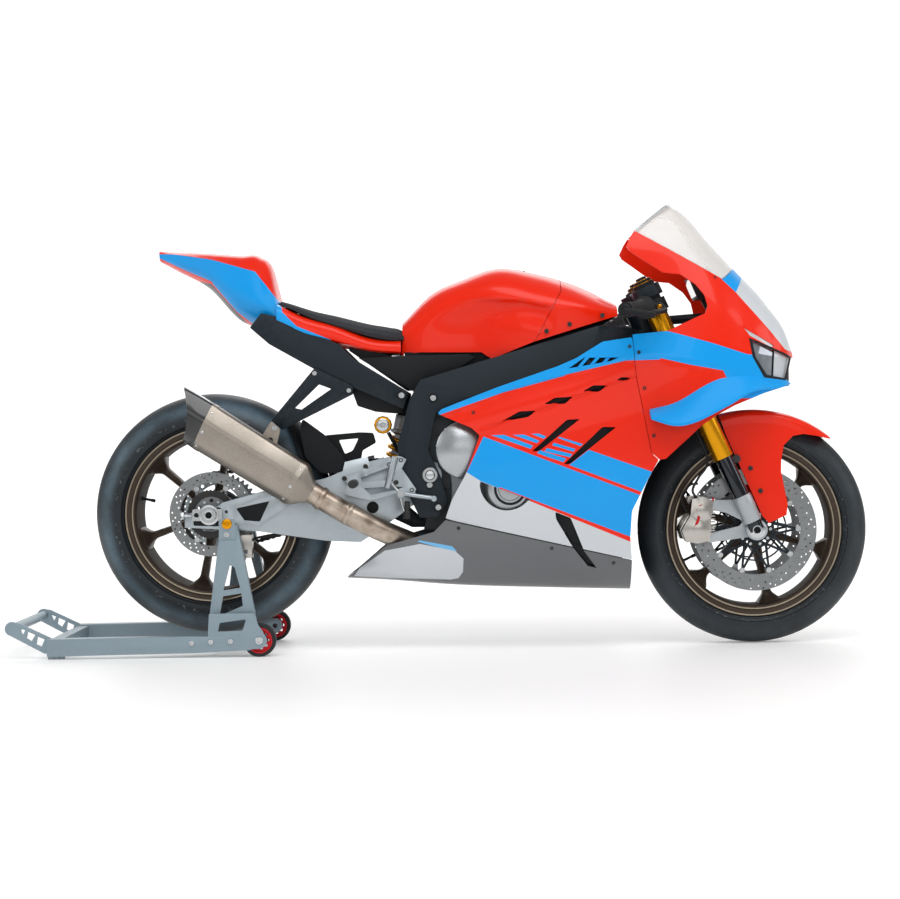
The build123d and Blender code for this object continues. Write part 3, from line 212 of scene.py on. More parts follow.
def sweepGrid(path, profiles):
    # profiles (stations, sides, 2) carried along path with the least turning
    path = np.asarray(path, float)
    tangent = np.gradient(path, axis=0)
    tangent /= np.linalg.norm(tangent, axis=1)[:, None]
    first = np.array((0, 1.0, 0)) if abs(tangent[0][1]) < 0.9 else np.array((0, 0, 1.0))
    normals = []
    current = first
    for t in tangent:
        current = current - t * (current @ t)
        current = current / np.linalg.norm(current)
        normals.append(current)
    normals = np.array(normals)
    binormals = np.cross(tangent, normals)
    profiles = np.asarray(profiles, float)
    if profiles.ndim == 2:
        profiles = np.repeat(profiles[None], len(path), 0)
    return path[:, None] + profiles[..., :1] * normals[:, None] + profiles[..., 1:2] * binormals[:, None]


def circle(radius, sides):
    turn = fullTurn(sides)
    return np.stack([np.cos(turn), np.sin(turn)], -1) * radius


def tubePart(points, radius, sides=14, per=8):
    # round tube along a smooth line; radius is a number or one value per given point
    path = curveThrough(points, per)
    size = np.interp(np.linspace(0, 1, len(path)), np.linspace(0, 1, np.size(radius)), np.ravel(radius))
    ring = circle(1.0, sides)
    return gridPart(sweepGrid(path, ring[None] * size[:, None, None]), closeCols=True, caps=True)


def splineWeights(count, samples, degree=2):
    # clamped B-spline basis, one row per sample
    knots = np.concatenate([np.zeros(degree), np.linspace(0, 1, count - degree + 1), np.ones(degree)])
    t = np.linspace(0, 1, samples)
    basis = ((knots[:-1] <= t[:, None]) & (t[:, None] < knots[1:])).astype(float)
    basis[-1] = 0
    basis[-1, count - 1] = 1
    for k in range(1, degree + 1):
        left = knots[k:-1] - knots[:-k - 1]
        right = knots[k + 1:] - knots[1:-k]
        a = np.where(left > 0, (t[:, None] - knots[:-k - 1]) / np.where(left > 0, left, 1), 0)
        b = np.where(right > 0, (knots[k + 1:] - t[:, None]) / np.where(right > 0, right, 1), 0)
        basis = a * basis[:, :-1] + b * basis[:, 1:]
        if k < degree:
            basis[-1] = 0
            basis[-1, -1] = 0
            basis[-1, count - 1] = 1
    basis[-1] = 0
    basis[-1, count - 1] = 1
    return basis


def throughWeights(stations, samples):
    # weights of a smooth curve that passes each station (monotone-like cubic Hermite), rows at samples
    stations = np.asarray(stations, float)
    count = len(stations)
    eye = np.eye(count)
    slope = np.gradient(eye, stations, axis=0)
    k = np.clip(np.searchsorted(stations, samples, side="right") - 1, 0, count - 2)
    h = (stations[k + 1] - stations[k])
    t = ((samples - stations[k]) / h)[:, None]
    h = h[:, None]
    return ((2 * t ** 3 - 3 * t ** 2 + 1) * eye[k] + (t ** 3 - 2 * t ** 2 + t) * h * slope[k]
            + (-2 * t ** 3 + 3 * t ** 2) * eye[k + 1] + (t ** 3 - t ** 2) * h * slope[k + 1])


def ringSurface(rings, xs, samples, mirrored=True):
    # half sections at stations along X, smoothed round the section and passed through along X
    stations = np.array([x for x, _ in rings], float)
    order = np.argsort(stations)
    halves = np.array([half for _, half in rings], float)[order]
    stations = stations[order]
    sections = np.concatenate([halves[:, ::-1], halves[:, 1:] * (-1, 1)], 1) if mirrored else halves
    smooth = np.einsum("ij,kjc->kic", splineWeights(sections.shape[1], samples), sections)
    smooth = np.einsum("xk,kic->xic", throughWeights(stations, np.asarray(xs, float)), smooth)
    out = np.zeros((len(xs), samples, 3))
    out[..., 0] = np.asarray(xs, float)[:, None]
    out[..., 1:] = smooth
    return out


def insideOutline(outline, x, z):
    # even-odd test of points against a closed outline
    poly = np.asarray(outline, float)
    inside = np.zeros(len(x), bool)
    ax, az = poly[:, 0], poly[:, 1]
    bx, bz = np.roll(ax, -1), np.roll(az, -1)
    for x0, z0, x1, z1 in zip(ax, az, bx, bz):
        crossing = (z0 > z) != (z1 > z)
        where = x0 + (z - z0) * (x1 - x0) / (z1 - z0 if z1 != z0 else 1e-9)
        inside ^= crossing & (x < where)
    return inside


def scoreOutline(work, outline, reach=9.0):
    # cuts the faces near each edge of an XZ outline along that edge
    poly = np.asarray(outline, float)
    for a, b in zip(poly, np.roll(poly, -1, 0)):
        run = b - a
        length = np.hypot(*run)
        if length < 1e-6:
            continue
        unit = run / length
        normal = np.array((-unit[1], unit[0]))
        work.faces.ensure_lookup_table()
        centres = np.array([f.calc_center_median() for f in work.faces]) * 1000 - (bike["shift"], 0, 0)
        rel = centres[:, [0, 2]] - a
        along, off = rel @ unit, np.abs(rel @ normal)
        size = np.sqrt(np.array([f.calc_area() for f in work.faces])) * 1000 + reach
        chosen = np.nonzero((along > -size) & (along < length + size) & (off < size))[0]
        if not len(chosen):
            continue
        faces = [work.faces[i] for i in chosen]
        geometry = set(faces)
        for face in faces:
            geometry.update(face.edges)
            geometry.update(face.verts)
        bmesh.ops.bisect_plane(work, geom=list(geometry), dist=1e-6, plane_co=Vector(place((a[0], 0, a[1]))[0]),
                               plane_no=Vector((normal[0], 0, normal[1])))


def panelMesh(name, grid, keep, cuts=(), keepSide=None):
    # a smooth skin trimmed to XZ outlines, with openings
    mesh = rawMesh(name, gridPart(grid), outward=False, merge=0.001)
    work = bmesh.new()
    work.from_mesh(mesh)
    for outline in [*keep, *cuts]:
        scoreOutline(work, outline)
    work.faces.ensure_lookup_table()
    centres = np.array([f.calc_center_median() for f in work.faces]) * 1000 - (bike["shift"], 0, 0)
    x, y, z = centres.T
    good = np.zeros(len(x), bool)
    for outline in keep:
        good |= insideOutline(outline, x, z)
    for outline in cuts:
        good &= ~insideOutline(outline, x, z)
    if keepSide is not None:
        good &= keepSide(x, y, z)
    bmesh.ops.delete(work, geom=[work.faces[i] for i in np.nonzero(~good)[0]], context="FACES")
    bmesh.ops.remove_doubles(work, verts=work.verts, dist=2e-5)
    bmesh.ops.dissolve_degenerate(work, edges=work.edges, dist=1e-5)
    work.to_mesh(mesh)
    work.free()
    return mesh


def platePart(loops, yLow, yHigh, bevel=0.0, resolution=1):
    # flat plate in XZ from an outline and its holes, between two values of Y, with rounded edges
    curve = bpy.data.curves.new("plate", "CURVE")
    curve.dimensions, curve.fill_mode = "2D", "BOTH"
    middle = np.mean(np.asarray(loops[0], float), axis=0)
    for loop in loops:
        loop = (np.asarray(loop, float) - middle) / 1000
        spline = curve.splines.new("POLY")
        spline.points.add(len(loop) - 1)
        spline.points.foreach_set("co", np.column_stack([loop, np.zeros(len(loop)), np.ones(len(loop))]).ravel())
        spline.use_cyclic_u = True
    curve.extrude = (abs(yHigh - yLow) / 2 - bevel) / 1000
    curve.bevel_depth = bevel / 1000
    curve.bevel_resolution = resolution
    curve.offset = -bevel / 1000
    carrier = bpy.data.objects.new("plate", curve)
    bpy.context.scene.collection.objects.link(carrier)
    graph = bpy.context.evaluated_depsgraph_get()
    mesh = bpy.data.meshes.new_from_object(carrier.evaluated_get(graph))
    co = np.zeros(len(mesh.vertices) * 3)
    mesh.vertices.foreach_get("co", co)
    co = co.reshape(-1, 3) * 1000
    faces = [list(p.vertices) for p in mesh.polygons]
    bpy.data.objects.remove(carrier)
    bpy.data.meshes.remove(mesh)
    points = np.column_stack([co[:, 0] + middle[0], co[:, 2] + (yLow + yHigh) / 2, co[:, 1] + middle[1]])
    return points, faces


def sidePlate(loops, side, low, high, bevel):
    # flat plate between two distances from the middle plane, on one side of it
    return platePart(loops, *sorted((side * low, side * high)), bevel)


def arcLoop(cx, cz, radius, count):
    turn = fullTurn(count)
    return np.column_stack([cx + radius * np.cos(turn), cz + radius * np.sin(turn)])


def roundLoop(points, radius, steps=4):
    # outline with its corners rounded by quadratic arcs
    p = np.asarray(points, float)
    before, after = np.roll(p, 1, 0), np.roll(p, -1, 0)
    out = []
    t = np.linspace(0, 1, steps + 1)[:, None]
    for a, b, c in zip(before, p, after):
        reachIn = min(radius, np.linalg.norm(a - b) * 0.45)
        reachOut = min(radius, np.linalg.norm(c - b) * 0.45)
        start = b + (a - b) / max(np.linalg.norm(a - b), 1e-9) * reachIn
        end = b + (c - b) / max(np.linalg.norm(c - b), 1e-9) * reachOut
        out.append((1 - t) ** 2 * start + 2 * t * (1 - t) * b + t ** 2 * end)
    return np.vstack(out)


def screwPart(point, direction, radius, height):
    # socket-head screw: round head with a six-sided recess
    sides = 24
    turn = fullTurn(sides)
    hexagon = math.cos(math.pi / 6) / np.cos((turn % (math.pi / 3)) - math.pi / 6)
    ones = np.ones(sides)
    rows = [(-1.0, radius * ones), (height - 0.6, radius * ones), (height, (radius - 0.6) * ones),
            (height, radius * 0.56 * hexagon), (height - radius * 0.45, radius * 0.54 * hexagon)]
    d = np.asarray(direction, float)
    base = onAxis([(along, 1.0) for along, _ in rows], point, d, sides)
    centre = np.asarray(point, float) + np.array([along for along, _ in rows])[:, None] * d / np.linalg.norm(d)
    size = np.array([r for _, r in rows])
    return gridPart(centre[:, None] + (base - centre[:, None]) * size[..., None], closeCols=True, caps=True)


def screws(points, direction, radius, height):
    return joinParts([screwPart(p, direction, radius, height) for p in points])


def addNode(tree, kind, inputs=None, **settings):
    # a shader node with its settings, its values and its links
    item = tree.nodes.new("ShaderNode" + kind)
    for key, value in settings.items():
        setattr(item, key, value)
    for key, value in (inputs or {}).items():
        if isinstance(value, bpy.types.NodeSocket):
            tree.links.new(value, item.inputs[key])
        else:
            item.inputs[key].default_value = value
    return item


def calc(tree, operation, *values, clamp=False):
    # one sum on sockets and numbers
    return addNode(tree, "Math", dict(enumerate(values)), operation=operation, use_clamp=clamp).outputs[0]


def vector(tree, operation, *values, out=0):
    return addNode(tree, "VectorMath", dict(enumerate(values)), operation=operation).outputs[out]


def remap(tree, value, low=0.0, high=1.0, start=0.0, end=1.0, curve="LINEAR"):
    # a value between low and high taken to between start and end
    return addNode(tree, "MapRange", {"Value": value, "From Min": low, "From Max": high, "To Min": start, "To Max": end},
                   interpolation_type=curve).outputs[0]


def blend(tree, share, a, b, kind="MIX"):
    # colour a with a share of colour b
    return addNode(tree, "Mix", {0: share, 6: a, 7: b}, data_type="RGBA", blend_type=kind).outputs[2]


def noiseOf(tree, spot, scale, detail=2.0, roughness=0.5):
    return addNode(tree, "TexNoise", {"Vector": spot, "Scale": scale, "Detail": detail, "Roughness": roughness}).outputs[0]


def objectSpot(tree):
    return addNode(tree, "TexCoord").outputs["Object"]


def newGroup(name, inputs, outputs):
    tree = bpy.data.node_groups.new(name, "ShaderNodeTree")
    for label, kind, value in inputs:
        socket = tree.interface.new_socket(label, in_out="INPUT", socket_type=kind)
        if value is not None:
            socket.default_value = value
    for label, kind in outputs:
        tree.interface.new_socket(label, in_out="OUTPUT", socket_type=kind)
    return tree, tree.nodes.new("NodeGroupInput"), tree.nodes.new("NodeGroupOutput")


def buildGrainGroup():
    # fine grain and broad patches: shifts a colour towards a deep one, varies roughness, gives a height
    tree, enter, leave = newGroup("surfaceGrain", [
        ("Color", "NodeSocketColor", None), ("Deep", "NodeSocketColor", None), ("Scale", "NodeSocketFloat", 400.0),
        ("Stretch", "NodeSocketVector", (1, 1, 1)), ("Amount", "NodeSocketFloat", 0.3),
        ("Roughness", "NodeSocketFloat", 0.4), ("Vary", "NodeSocketFloat", 0.1), ("Patch", "NodeSocketFloat", 6.0)],
                                  [("Color", "NodeSocketColor"), ("Roughness", "NodeSocketFloat"),
                                   ("Height", "NodeSocketFloat")])
    g = enter.outputs
    spot = objectSpot(tree)
    stretched = vector(tree, "MULTIPLY", spot, g["Stretch"])
    fine = noiseOf(tree, stretched, g["Scale"], 3.0)
    broad = noiseOf(tree, spot, g["Patch"], 4.0, 0.6)
    both = calc(tree, "MULTIPLY", fine, broad)
    lifted = remap(tree, both, 0.12, 0.42)
    share = calc(tree, "MULTIPLY", lifted, g["Amount"], clamp=True)
    mixed = blend(tree, share, g["Color"], g["Deep"])
    centred = calc(tree, "SUBTRACT", broad, 0.5)
    swing = calc(tree, "MULTIPLY_ADD", centred, g["Vary"], g["Roughness"], clamp=True)
    tree.links.new(mixed, leave.inputs["Color"])
    tree.links.new(swing, leave.inputs["Roughness"])
    tree.links.new(fine, leave.inputs["Height"])
    return tree


def buildWearGroup():
    # edges rubbed bright: pointed places of the surface, broken up by noise
    tree, enter, leave = newGroup("edgeWear", [
        ("Color", "NodeSocketColor", None), ("Bare", "NodeSocketColor", None), ("Amount", "NodeSocketFloat", 0.5)],
                                  [("Color", "NodeSocketColor"), ("Mask", "NodeSocketFloat")])
    g = enter.outputs
    spot = objectSpot(tree)
    pointed = addNode(tree, "NewGeometry").outputs["Pointiness"]
    edge = remap(tree, pointed, 0.54, 0.62)
    noise = noiseOf(tree, spot, 90.0, 5.0)
    broken = remap(tree, noise, 0.4, 0.62)
    mask = calc(tree, "MULTIPLY", edge, broken)
    mask = calc(tree, "MULTIPLY", mask, g["Amount"], clamp=True)
    mixed = blend(tree, mask, g["Color"], g["Bare"])
    tree.links.new(mixed, leave.inputs["Color"])
    tree.links.new(mask, leave.inputs["Mask"])
    return tree


grainGroup = buildGrainGroup()
wearGroup = buildWearGroup()


def rgb(values):
    # display 0-255 values to a linear colour
    c = np.asarray(values, float) / 255
    c = np.where(c <= 0.04045, c / 12.92, ((c + 0.055) / 1.055) ** 2.4)
    return (*c.tolist(), 1)


def polygonMask(tree, spot, outline):
    # 1 inside a convex XZ outline grown by 0.6 mm: the least distance inside any of its edges, sharpened
    p = np.asarray(outline, float)
    p = np.column_stack([p[:, 0] + bike["shift"], p[:, 1]]) / 1000
    area = np.sum(p[:, 0] * np.roll(p[:, 1], -1) - np.roll(p[:, 0], -1) * p[:, 1])
    p = p if area > 0 else p[::-1]
    least = None
    for a, b in zip(p, np.roll(p, -1, 0)):
        run = (b - a) / np.hypot(*(b - a))
        dot = vector(tree, "DOT_PRODUCT", spot, (-run[1], 0, run[0]), out="Value")
        inside = calc(tree, "SUBTRACT", dot, float(-run[1] * a[0] + run[0] * a[1]))
        least = inside if least is None else calc(tree, "MINIMUM", least, inside)
    return calc(tree, "MULTIPLY_ADD", least, 4000.0, 3.0, clamp=True)


def makeFinish(name, color, deep=None, metallic=0.0, roughness=0.4, scale=400.0, stretch=(1, 1, 1), amount=0.3, vary=0.1,
               patch=6.0, bump=0.0, bumpSize=0.0003, coat=0.0, coatRoughness=0.03, wear=0.0, bare=(170, 170, 168),
               layers=(), specular=0.5, sheen=0.0):
    # one Principled material: grain, then layers of flat colour by outline, then worn edges
    material = bpy.data.materials.new(name)
    material.use_nodes = True
    tree = material.node_tree
    shader = tree.nodes["Principled BSDF"]
    color = rgb(color)
    deep = rgb(deep) if deep else tuple(v * 0.6 for v in color[:3]) + (1,)
    grain = addNode(tree, "Group", node_tree=grainGroup)
    for key, value in {"Deep": deep, "Scale": scale, "Stretch": stretch, "Amount": amount, "Roughness": roughness,
                       "Vary": vary, "Patch": patch}.items():
        grain.inputs[key].default_value = value
    base = None
    if layers:
        spot = objectSpot(tree)
        for tint, outlines in layers:
            mask = None
            for outline in outlines:
                part = polygonMask(tree, spot, outline)
                mask = part if mask is None else calc(tree, "MAXIMUM", mask, part)
            base = blend(tree, mask, base if base else color, rgb(tint))
        tree.links.new(base, grain.inputs["Color"])
        dark = blend(tree, 1.0, base, (0.62, 0.62, 0.66, 1), "MULTIPLY")
        tree.links.new(dark, grain.inputs["Deep"])
    else:
        grain.inputs["Color"].default_value = color
    out = grain.outputs["Color"]
    if wear:
        worn = addNode(tree, "Group", {"Color": out, "Bare": rgb(bare), "Amount": wear}, node_tree=wearGroup)
        out = worn.outputs["Color"]
    tree.links.new(out, shader.inputs["Base Color"])
    tree.links.new(grain.outputs["Roughness"], shader.inputs["Roughness"])
    if bump:
        raised = addNode(tree, "Bump", {"Height": grain.outputs["Height"], "Strength": bump, "Distance": bumpSize})
        tree.links.new(raised.outputs[0], shader.inputs["Normal"])
    shader.inputs["Metallic"].default_value = metallic
    shader.inputs["Coat Weight"].default_value = coat
    shader.inputs["Coat Roughness"].default_value = coatRoughness
    shader.inputs["Specular IOR Level"].default_value = specular
    shader.inputs["Sheen Weight"].default_value = sheen
    return material


livery = {
    "red": (238, 36, 2),
    "blue": (10, 158, 236),
    "white": (206, 210, 214),
    "grey": (112, 114, 116),
    "paleBlue": (120, 190, 236),
    "dark": (20, 22, 25),
}
paintLook = {"roughness": 0.3, "vary": 0.08, "amount": 0.1, "scale": 900.0, "patch": 3.0, "coat": 0.24, "coatRoughness": 0.03,
             "specular": 0.2}

upperStrip = [[(13, 623), (164, 679), (182, 664), (14, 608)], [(164, 679), (321, 728), (339, 704), (182, 664)],
              [(310, 735), (355, 762), (437, 806), (495, 740), (339, 706)],
              [(437, 806), (520, 818), (604, 812), (580, 741), (495, 740)],
              [(604, 812), (716, 780), (744, 706), (656, 727), (580, 741)],
              [(716, 780), (819, 747), (840, 706), (830, 690), (744, 706)],
              [(800, 752), (960, 735), (960, 640), (780, 640), (744, 706)]]
lowerBlue = [[(133, 556), (87, 462), (123, 439), (560, 266), (560, 385)],
             [(397, 514), (600, 440), (600, 379), (504, 413), (344, 474)]]
whiteZone = [[(-20, 496), (560, 306), (560, 100), (-20, 100)]]
greyZone = [[(-20, 361), (29, 345), (501, 236), (620, 205), (620, 100), (-20, 100)]]
redLines = [[(170, 422), (170, 419.5), (560, 254), (560, 267)], [(128, 561), (560, 393), (560, 385), (128, 554)]]
thinStripes = [
    [(153, 555), (183, 555), (255, 527), (249, 520)], [(208, 555), (234, 555), (271, 539), (265, 534)],
    [(255, 557), (271, 557), (288, 550), (283, 545)], [(320, 546), (323, 548), (381, 529), (376, 525)],
    [(305, 528), (309, 533), (362, 517), (358, 511)], [(286, 513), (291, 520), (354, 504), (349, 497)],
    [(265, 507), (273, 515), (338, 493), (332, 485)]]
fairingPaint = makeFinish("fairingPaint", livery["red"], layers=[
    (livery["white"], whiteZone), (livery["blue"], lowerBlue), (livery["blue"], thinStripes), (livery["red"], redLines),
    (livery["grey"], greyZone), (livery["blue"], upperStrip)], **paintLook)
redPaint = makeFinish("redPaint", livery["red"], **paintLook)
bluePaint = makeFinish("bluePaint", livery["blue"], **paintLook)
nosePaint = makeFinish("nosePaint", livery["red"], layers=[
    (livery["white"], [[(785, 914), (830, 988), (1000, 988), (1000, 762), (925, 762), (912, 766)]]),
    (livery["blue"], [[(744, 952), (785, 914), (830, 988), (778, 1000)]]),
    (livery["blue"], upperStrip)], **paintLook)
tailPaint = makeFinish("tailPaint", livery["red"], layers=[
    (livery["blue"], [[(-730, 1046), (-673, 1040), (-578, 1024), (-572, 1022), (-572, 964), (-645, 1000), (-700, 1024)],
                      [(-572, 1023), (-455, 988), (-468, 856), (-511, 890), (-572, 964)],
                      [(-456, 989), (-419, 940), (-391, 903), (-384, 878), (-470, 850)],
                      [(-384, 880), (-348, 844), (-363, 814), (-480, 850)],
                      [(-348, 844), (-261, 808), (-268, 800), (-363, 814)]]),
    (livery["dark"], [[(-680, 990), (-577, 962), (-512, 888), (-476, 845), (-420, 780), (-700, 900)]])], **paintLook)
bellyPaint = makeFinish("bellyPaint", livery["grey"], deep=(80, 82, 84), metallic=0.55, layers=[
    (livery["white"], [[(-212, 192), (-196, 214), (-127, 262), (-36, 279), (53, 260), (74, 240), (72, 205), (60, 188),
                        (40, 184)]]),
    (livery["paleBlue"], [[(-49, 283), (-36, 288), (46, 272), (60, 256), (20, 268)]])],
                        **{**paintLook, "amount": 0.35, "scale": 2200.0})

satinBlack = makeFinish("satinBlack", (25, 36, 44), (15, 22, 27), specular=0.25, roughness=0.4, amount=0.5, scale=900,
                        bump=0.25, bumpSize=0.0002, wear=0.35, bare=(80, 84, 88))
carbon = makeFinish("carbonMoulding", (22, 24, 26), (10, 11, 12), roughness=0.3, scale=700, stretch=(1, 1, 1), amount=0.7,
                    coat=0.8)
mattBlack = makeFinish("mattBlack", (21, 24, 27), (13, 15, 17), specular=0.25, roughness=0.55, amount=0.4, scale=1200,
                       bump=0.2, bumpSize=0.0002)
brushedAlloy = makeFinish("brushedAlloy", (180, 189, 194), (130, 138, 144), metallic=0.9, roughness=0.33, vary=0.2, scale=260,
                          stretch=(1, 6, 14), amount=0.55, bump=0.12, bumpSize=0.0002)
castAlloy = makeFinish("castAlloy", (150, 154, 158), (96, 98, 100), metallic=0.8, roughness=0.46, vary=0.2, scale=900,
                       amount=0.6, bump=0.35, bumpSize=0.0003)
brightSteel = makeFinish("brightSteel", (205, 208, 210), (150, 152, 154), metallic=1.0, roughness=0.24, vary=0.2, scale=500,
                         amount=0.35)
darkSteel = makeFinish("darkSteel", (70, 70, 70), (34, 33, 32), metallic=0.9, roughness=0.4, vary=0.2, scale=700, amount=0.6)
discSteel = makeFinish("discSteel", (146, 149, 150), (102, 104, 106), metallic=0.9, roughness=0.36, vary=0.25, scale=320,
                       stretch=(1, 1, 1), amount=0.5, patch=14)
goldAnodised = makeFinish("goldAnodised", (228, 160, 20), (190, 118, 8), metallic=0.9, roughness=0.25, vary=0.15, scale=500,
                          amount=0.4)
sliderChrome = makeFinish("sliderChrome", (64, 66, 70), (40, 41, 44), metallic=1.0, roughness=0.14, vary=0.1, scale=300,
                          amount=0.4)
bronzeWheel = makeFinish("bronzeWheel", (70, 58, 48), (40, 33, 28), metallic=0.35, specular=0.3, roughness=0.42, vary=0.2,
                         scale=600, amount=0.45, wear=0.6, bare=(165, 150, 130))
# barrel inside: a darker bronze with its reflections taken away, as painted shade
barrelPaintedShade = makeFinish("barrelPaintedShade", (62, 52, 44), (36, 30, 26), specular=0.06, roughness=0.6, vary=0.2, scale=600,
                         amount=0.45)
machinedLip = makeFinish("machinedLip", (170, 158, 140), (110, 100, 86), metallic=1.0, roughness=0.28, scale=600, amount=0.4)
titanium = makeFinish("titanium", (166, 158, 148), (118, 110, 102), metallic=0.95, roughness=0.38, vary=0.25, scale=240,
                      stretch=(1, 8, 1), amount=0.6, bump=0.08, bumpSize=0.0002)
pipeSteel = makeFinish("pipeSteel", (208, 196, 182), (136, 116, 100), metallic=0.95, roughness=0.34, vary=0.3, scale=30,
                       amount=0.9, patch=9)
standPaint = makeFinish("standPaint", (143, 160, 170), (112, 128, 138), metallic=0.3, roughness=0.38, vary=0.15, scale=900,
                        amount=0.3, wear=0.5, bare=(205, 208, 210), bump=0.15, bumpSize=0.0002)
rollerRed = makeFinish("rollerRed", (205, 24, 34), (140, 12, 22), metallic=0.5, roughness=0.32, amount=0.3)
rubberBlack = makeFinish("rubberBlack", (26, 27, 29), (16, 17, 18), roughness=0.7, scale=1500, amount=0.5, bump=0.3,
                         bumpSize=0.0002)
gripRubber = makeFinish("gripRubber", (24, 25, 27), (14, 15, 16), roughness=0.75, scale=1100, amount=0.5, bump=0.6,
                        bumpSize=0.0004)
nickel = makeFinish("nickelPlate", (196, 192, 186), (140, 134, 128), metallic=1.0, roughness=0.26, vary=0.2, scale=500,
                    amount=0.4)
foamBlack = makeFinish("seatFoam", (58, 61, 65), (36, 38, 41), roughness=0.9, vary=0.1, scale=650, amount=0.7, bump=1.0,
                       bumpSize=0.0009, specular=0.25)
lensClear = makeFinish("lampLens", (150, 156, 165), (60, 64, 70), metallic=0.6, roughness=0.1, amount=0.5, scale=60, coat=1.0)
glassDark = makeFinish("displayGlass", (12, 13, 16), (8, 8, 10), roughness=0.08, amount=0.2, coat=1.0)


def makeSlickRubber(name, centre, radius, scuffAndSheen, share):
    # black rubber; by distance from the axle, a bluish band on the shoulder, partly scrubbed rubber and partly painted
    # sheen, and pale scrubbed flecks below it
    material = makeFinish(name, (30, 37, 43), (18, 21, 24), specular=0.4, roughness=0.52, vary=0.45, scale=520, amount=0.75,
                          patch=9, bump=0.4, bumpSize=0.0003)
    tree = material.node_tree
    grain = next(item for item in tree.nodes if item.type == "GROUP")
    spot = objectSpot(tree)
    away = vector(tree, "SUBTRACT", spot, ((centre[0] + bike["shift"]) / 1000, 0, centre[1] / 1000))
    flat = vector(tree, "MULTIPLY", away, (1000 / radius, 0, 1000 / radius))
    reach = vector(tree, "LENGTH", flat, out="Value")
    noise = noiseOf(tree, spot, 11.0, 6.0, 0.6)
    fleck = noiseOf(tree, spot, 130.0, 3.0)

    def window(low, middle, high, field, start, end):
        rise = remap(tree, reach, low, middle, curve="SMOOTHSTEP")
        fall = remap(tree, reach, high, middle, curve="SMOOTHSTEP")
        broken = remap(tree, field, start, end)
        both = calc(tree, "MULTIPLY", rise, fall)
        return calc(tree, "MULTIPLY", both, broken, clamp=True)

    # the shoulder band: scrubbed rubber with a painted sheen on it
    band = calc(tree, "MULTIPLY", window(0.80, 0.89, 0.985, noise, 0.1, 0.62), share)
    color = blend(tree, band, rgb((30, 37, 43)), rgb(scuffAndSheen))
    color = blend(tree, window(0.765, 0.80, 0.83, fleck, 0.6, 0.7), color, rgb((112, 122, 126)))
    tree.links.new(color, grain.inputs["Color"])
    return material


def makeScreen():
    # clear moulding, seen mostly by its reflections; its pale colour grows more opaque towards grazing angles as a
    # painted reflection
    material = bpy.data.materials.new("screenClear")
    material.use_nodes = True
    tree = material.node_tree
    shader = tree.nodes["Principled BSDF"]
    spot = objectSpot(tree)
    noise = noiseOf(tree, spot, 40.0)
    rough = remap(tree, noise, start=0.03, end=0.07)
    tree.links.new(rough, shader.inputs["Roughness"])
    shader.inputs["Base Color"].default_value = (0.84, 0.84, 0.81, 1)
    # pale colour more opaque at grazing angles: painted reflection
    edge = addNode(tree, "LayerWeight", {"Blend": 0.35}).outputs["Facing"]
    clear = remap(tree, edge, 0.2, 0.95, 0.3, 0.75)
    tree.links.new(clear, shader.inputs["Alpha"])
    shader.inputs["IOR"].default_value = 1.49
    return material


# third colour and share set the shoulder band of scrubbed rubber and painted sheen, stronger on the rear tyre
slickRubber = {"front": makeSlickRubber("frontSlick", (frontX, frontZ), 300.0, (72, 82, 88), 0.36),
               "rear": makeSlickRubber("rearSlick", (rearX, rearZ), 315.0, (98, 122, 136), 0.85)}
screenClear = makeScreen()
print("stage: finishes", len(bpy.data.materials))


def refineNode(node, finish, bevel, loose=False):
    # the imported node's own shape as a welded copy with its edges rounded; loose keeps its triangles
    mesh = frame["nodes"][node].data.copy()
    work = bmesh.new()
    work.from_mesh(mesh)
    bmesh.ops.remove_doubles(work, verts=work.verts, dist=2e-5)
    if not loose:
        bmesh.ops.dissolve_limit(work, angle_limit=math.radians(0.6), verts=work.verts, edges=work.edges)
    work.to_mesh(mesh)
    work.free()
    mesh = settled(mesh, [bevelStep(bevel)])
    return shown(node + "_form", mesh, finish, node, [node], 35)


def newPiece(name, parts, finish, like, stands=(), bevel=0.0, angle=35, merge=0.0):
    # closed parts joined as one piece that rides with a CAD node, in the given finish, its edges rounded by bevel
    # millimetres
    mesh = rawMesh(name, joinParts(parts) if isinstance(parts, list) else parts, True, merge)
    if bevel:
        mesh = settled(mesh, [bevelStep(bevel)])
    return shown(name, mesh, finish, like, stands, angle)


def newSkin(name, mesh, inside, wall, finish, node, stands=True, angle=40):
    # turns an open skin so that its faces point away from a point inside it, then gives it its wall inwards
    work = bmesh.new()
    work.from_mesh(mesh)
    middle = Vector(place(inside)[0])
    total = sum((f.calc_center_median() - middle).dot(f.normal) * f.calc_area() for f in work.faces)
    if total < 0:
        bmesh.ops.reverse_faces(work, faces=work.faces)
        work.to_mesh(mesh)
    work.free()
    wallStep = ("SOLIDIFY", {"thickness": wall / 1000, "offset": -1, "use_even_offset": False, "use_quality_normals": True})
    return shown(name, settled(mesh, [wallStep]), finish, node, [node] if stands else (), angle)


def tinted(piece, finishes, choose):
    # gives each face of a piece one of several finishes by where its middle lies
    mesh = piece.data
    mesh.materials.clear()
    for item in finishes:
        mesh.materials.append(item)
    spots = np.zeros(len(mesh.polygons) * 3)
    mesh.polygons.foreach_get("center", spots)
    x, y, z = (spots.reshape(-1, 3) * 1000 - (bike["shift"], 0, 0)).T
    mesh.polygons.foreach_set("material_index", choose(x, y, z).astype(np.int32))
    mesh.update()


def smoothStep(value, low, high):
    t = np.clip((value - low) / (high - low), 0, 1)
    return t * t * (3 - 2 * t)


def heightOver(points, x):
    # height of a line of (x, z) points at each x
    p = np.asarray(points, float)
    return np.interp(x, p[:, 0], p[:, 1])


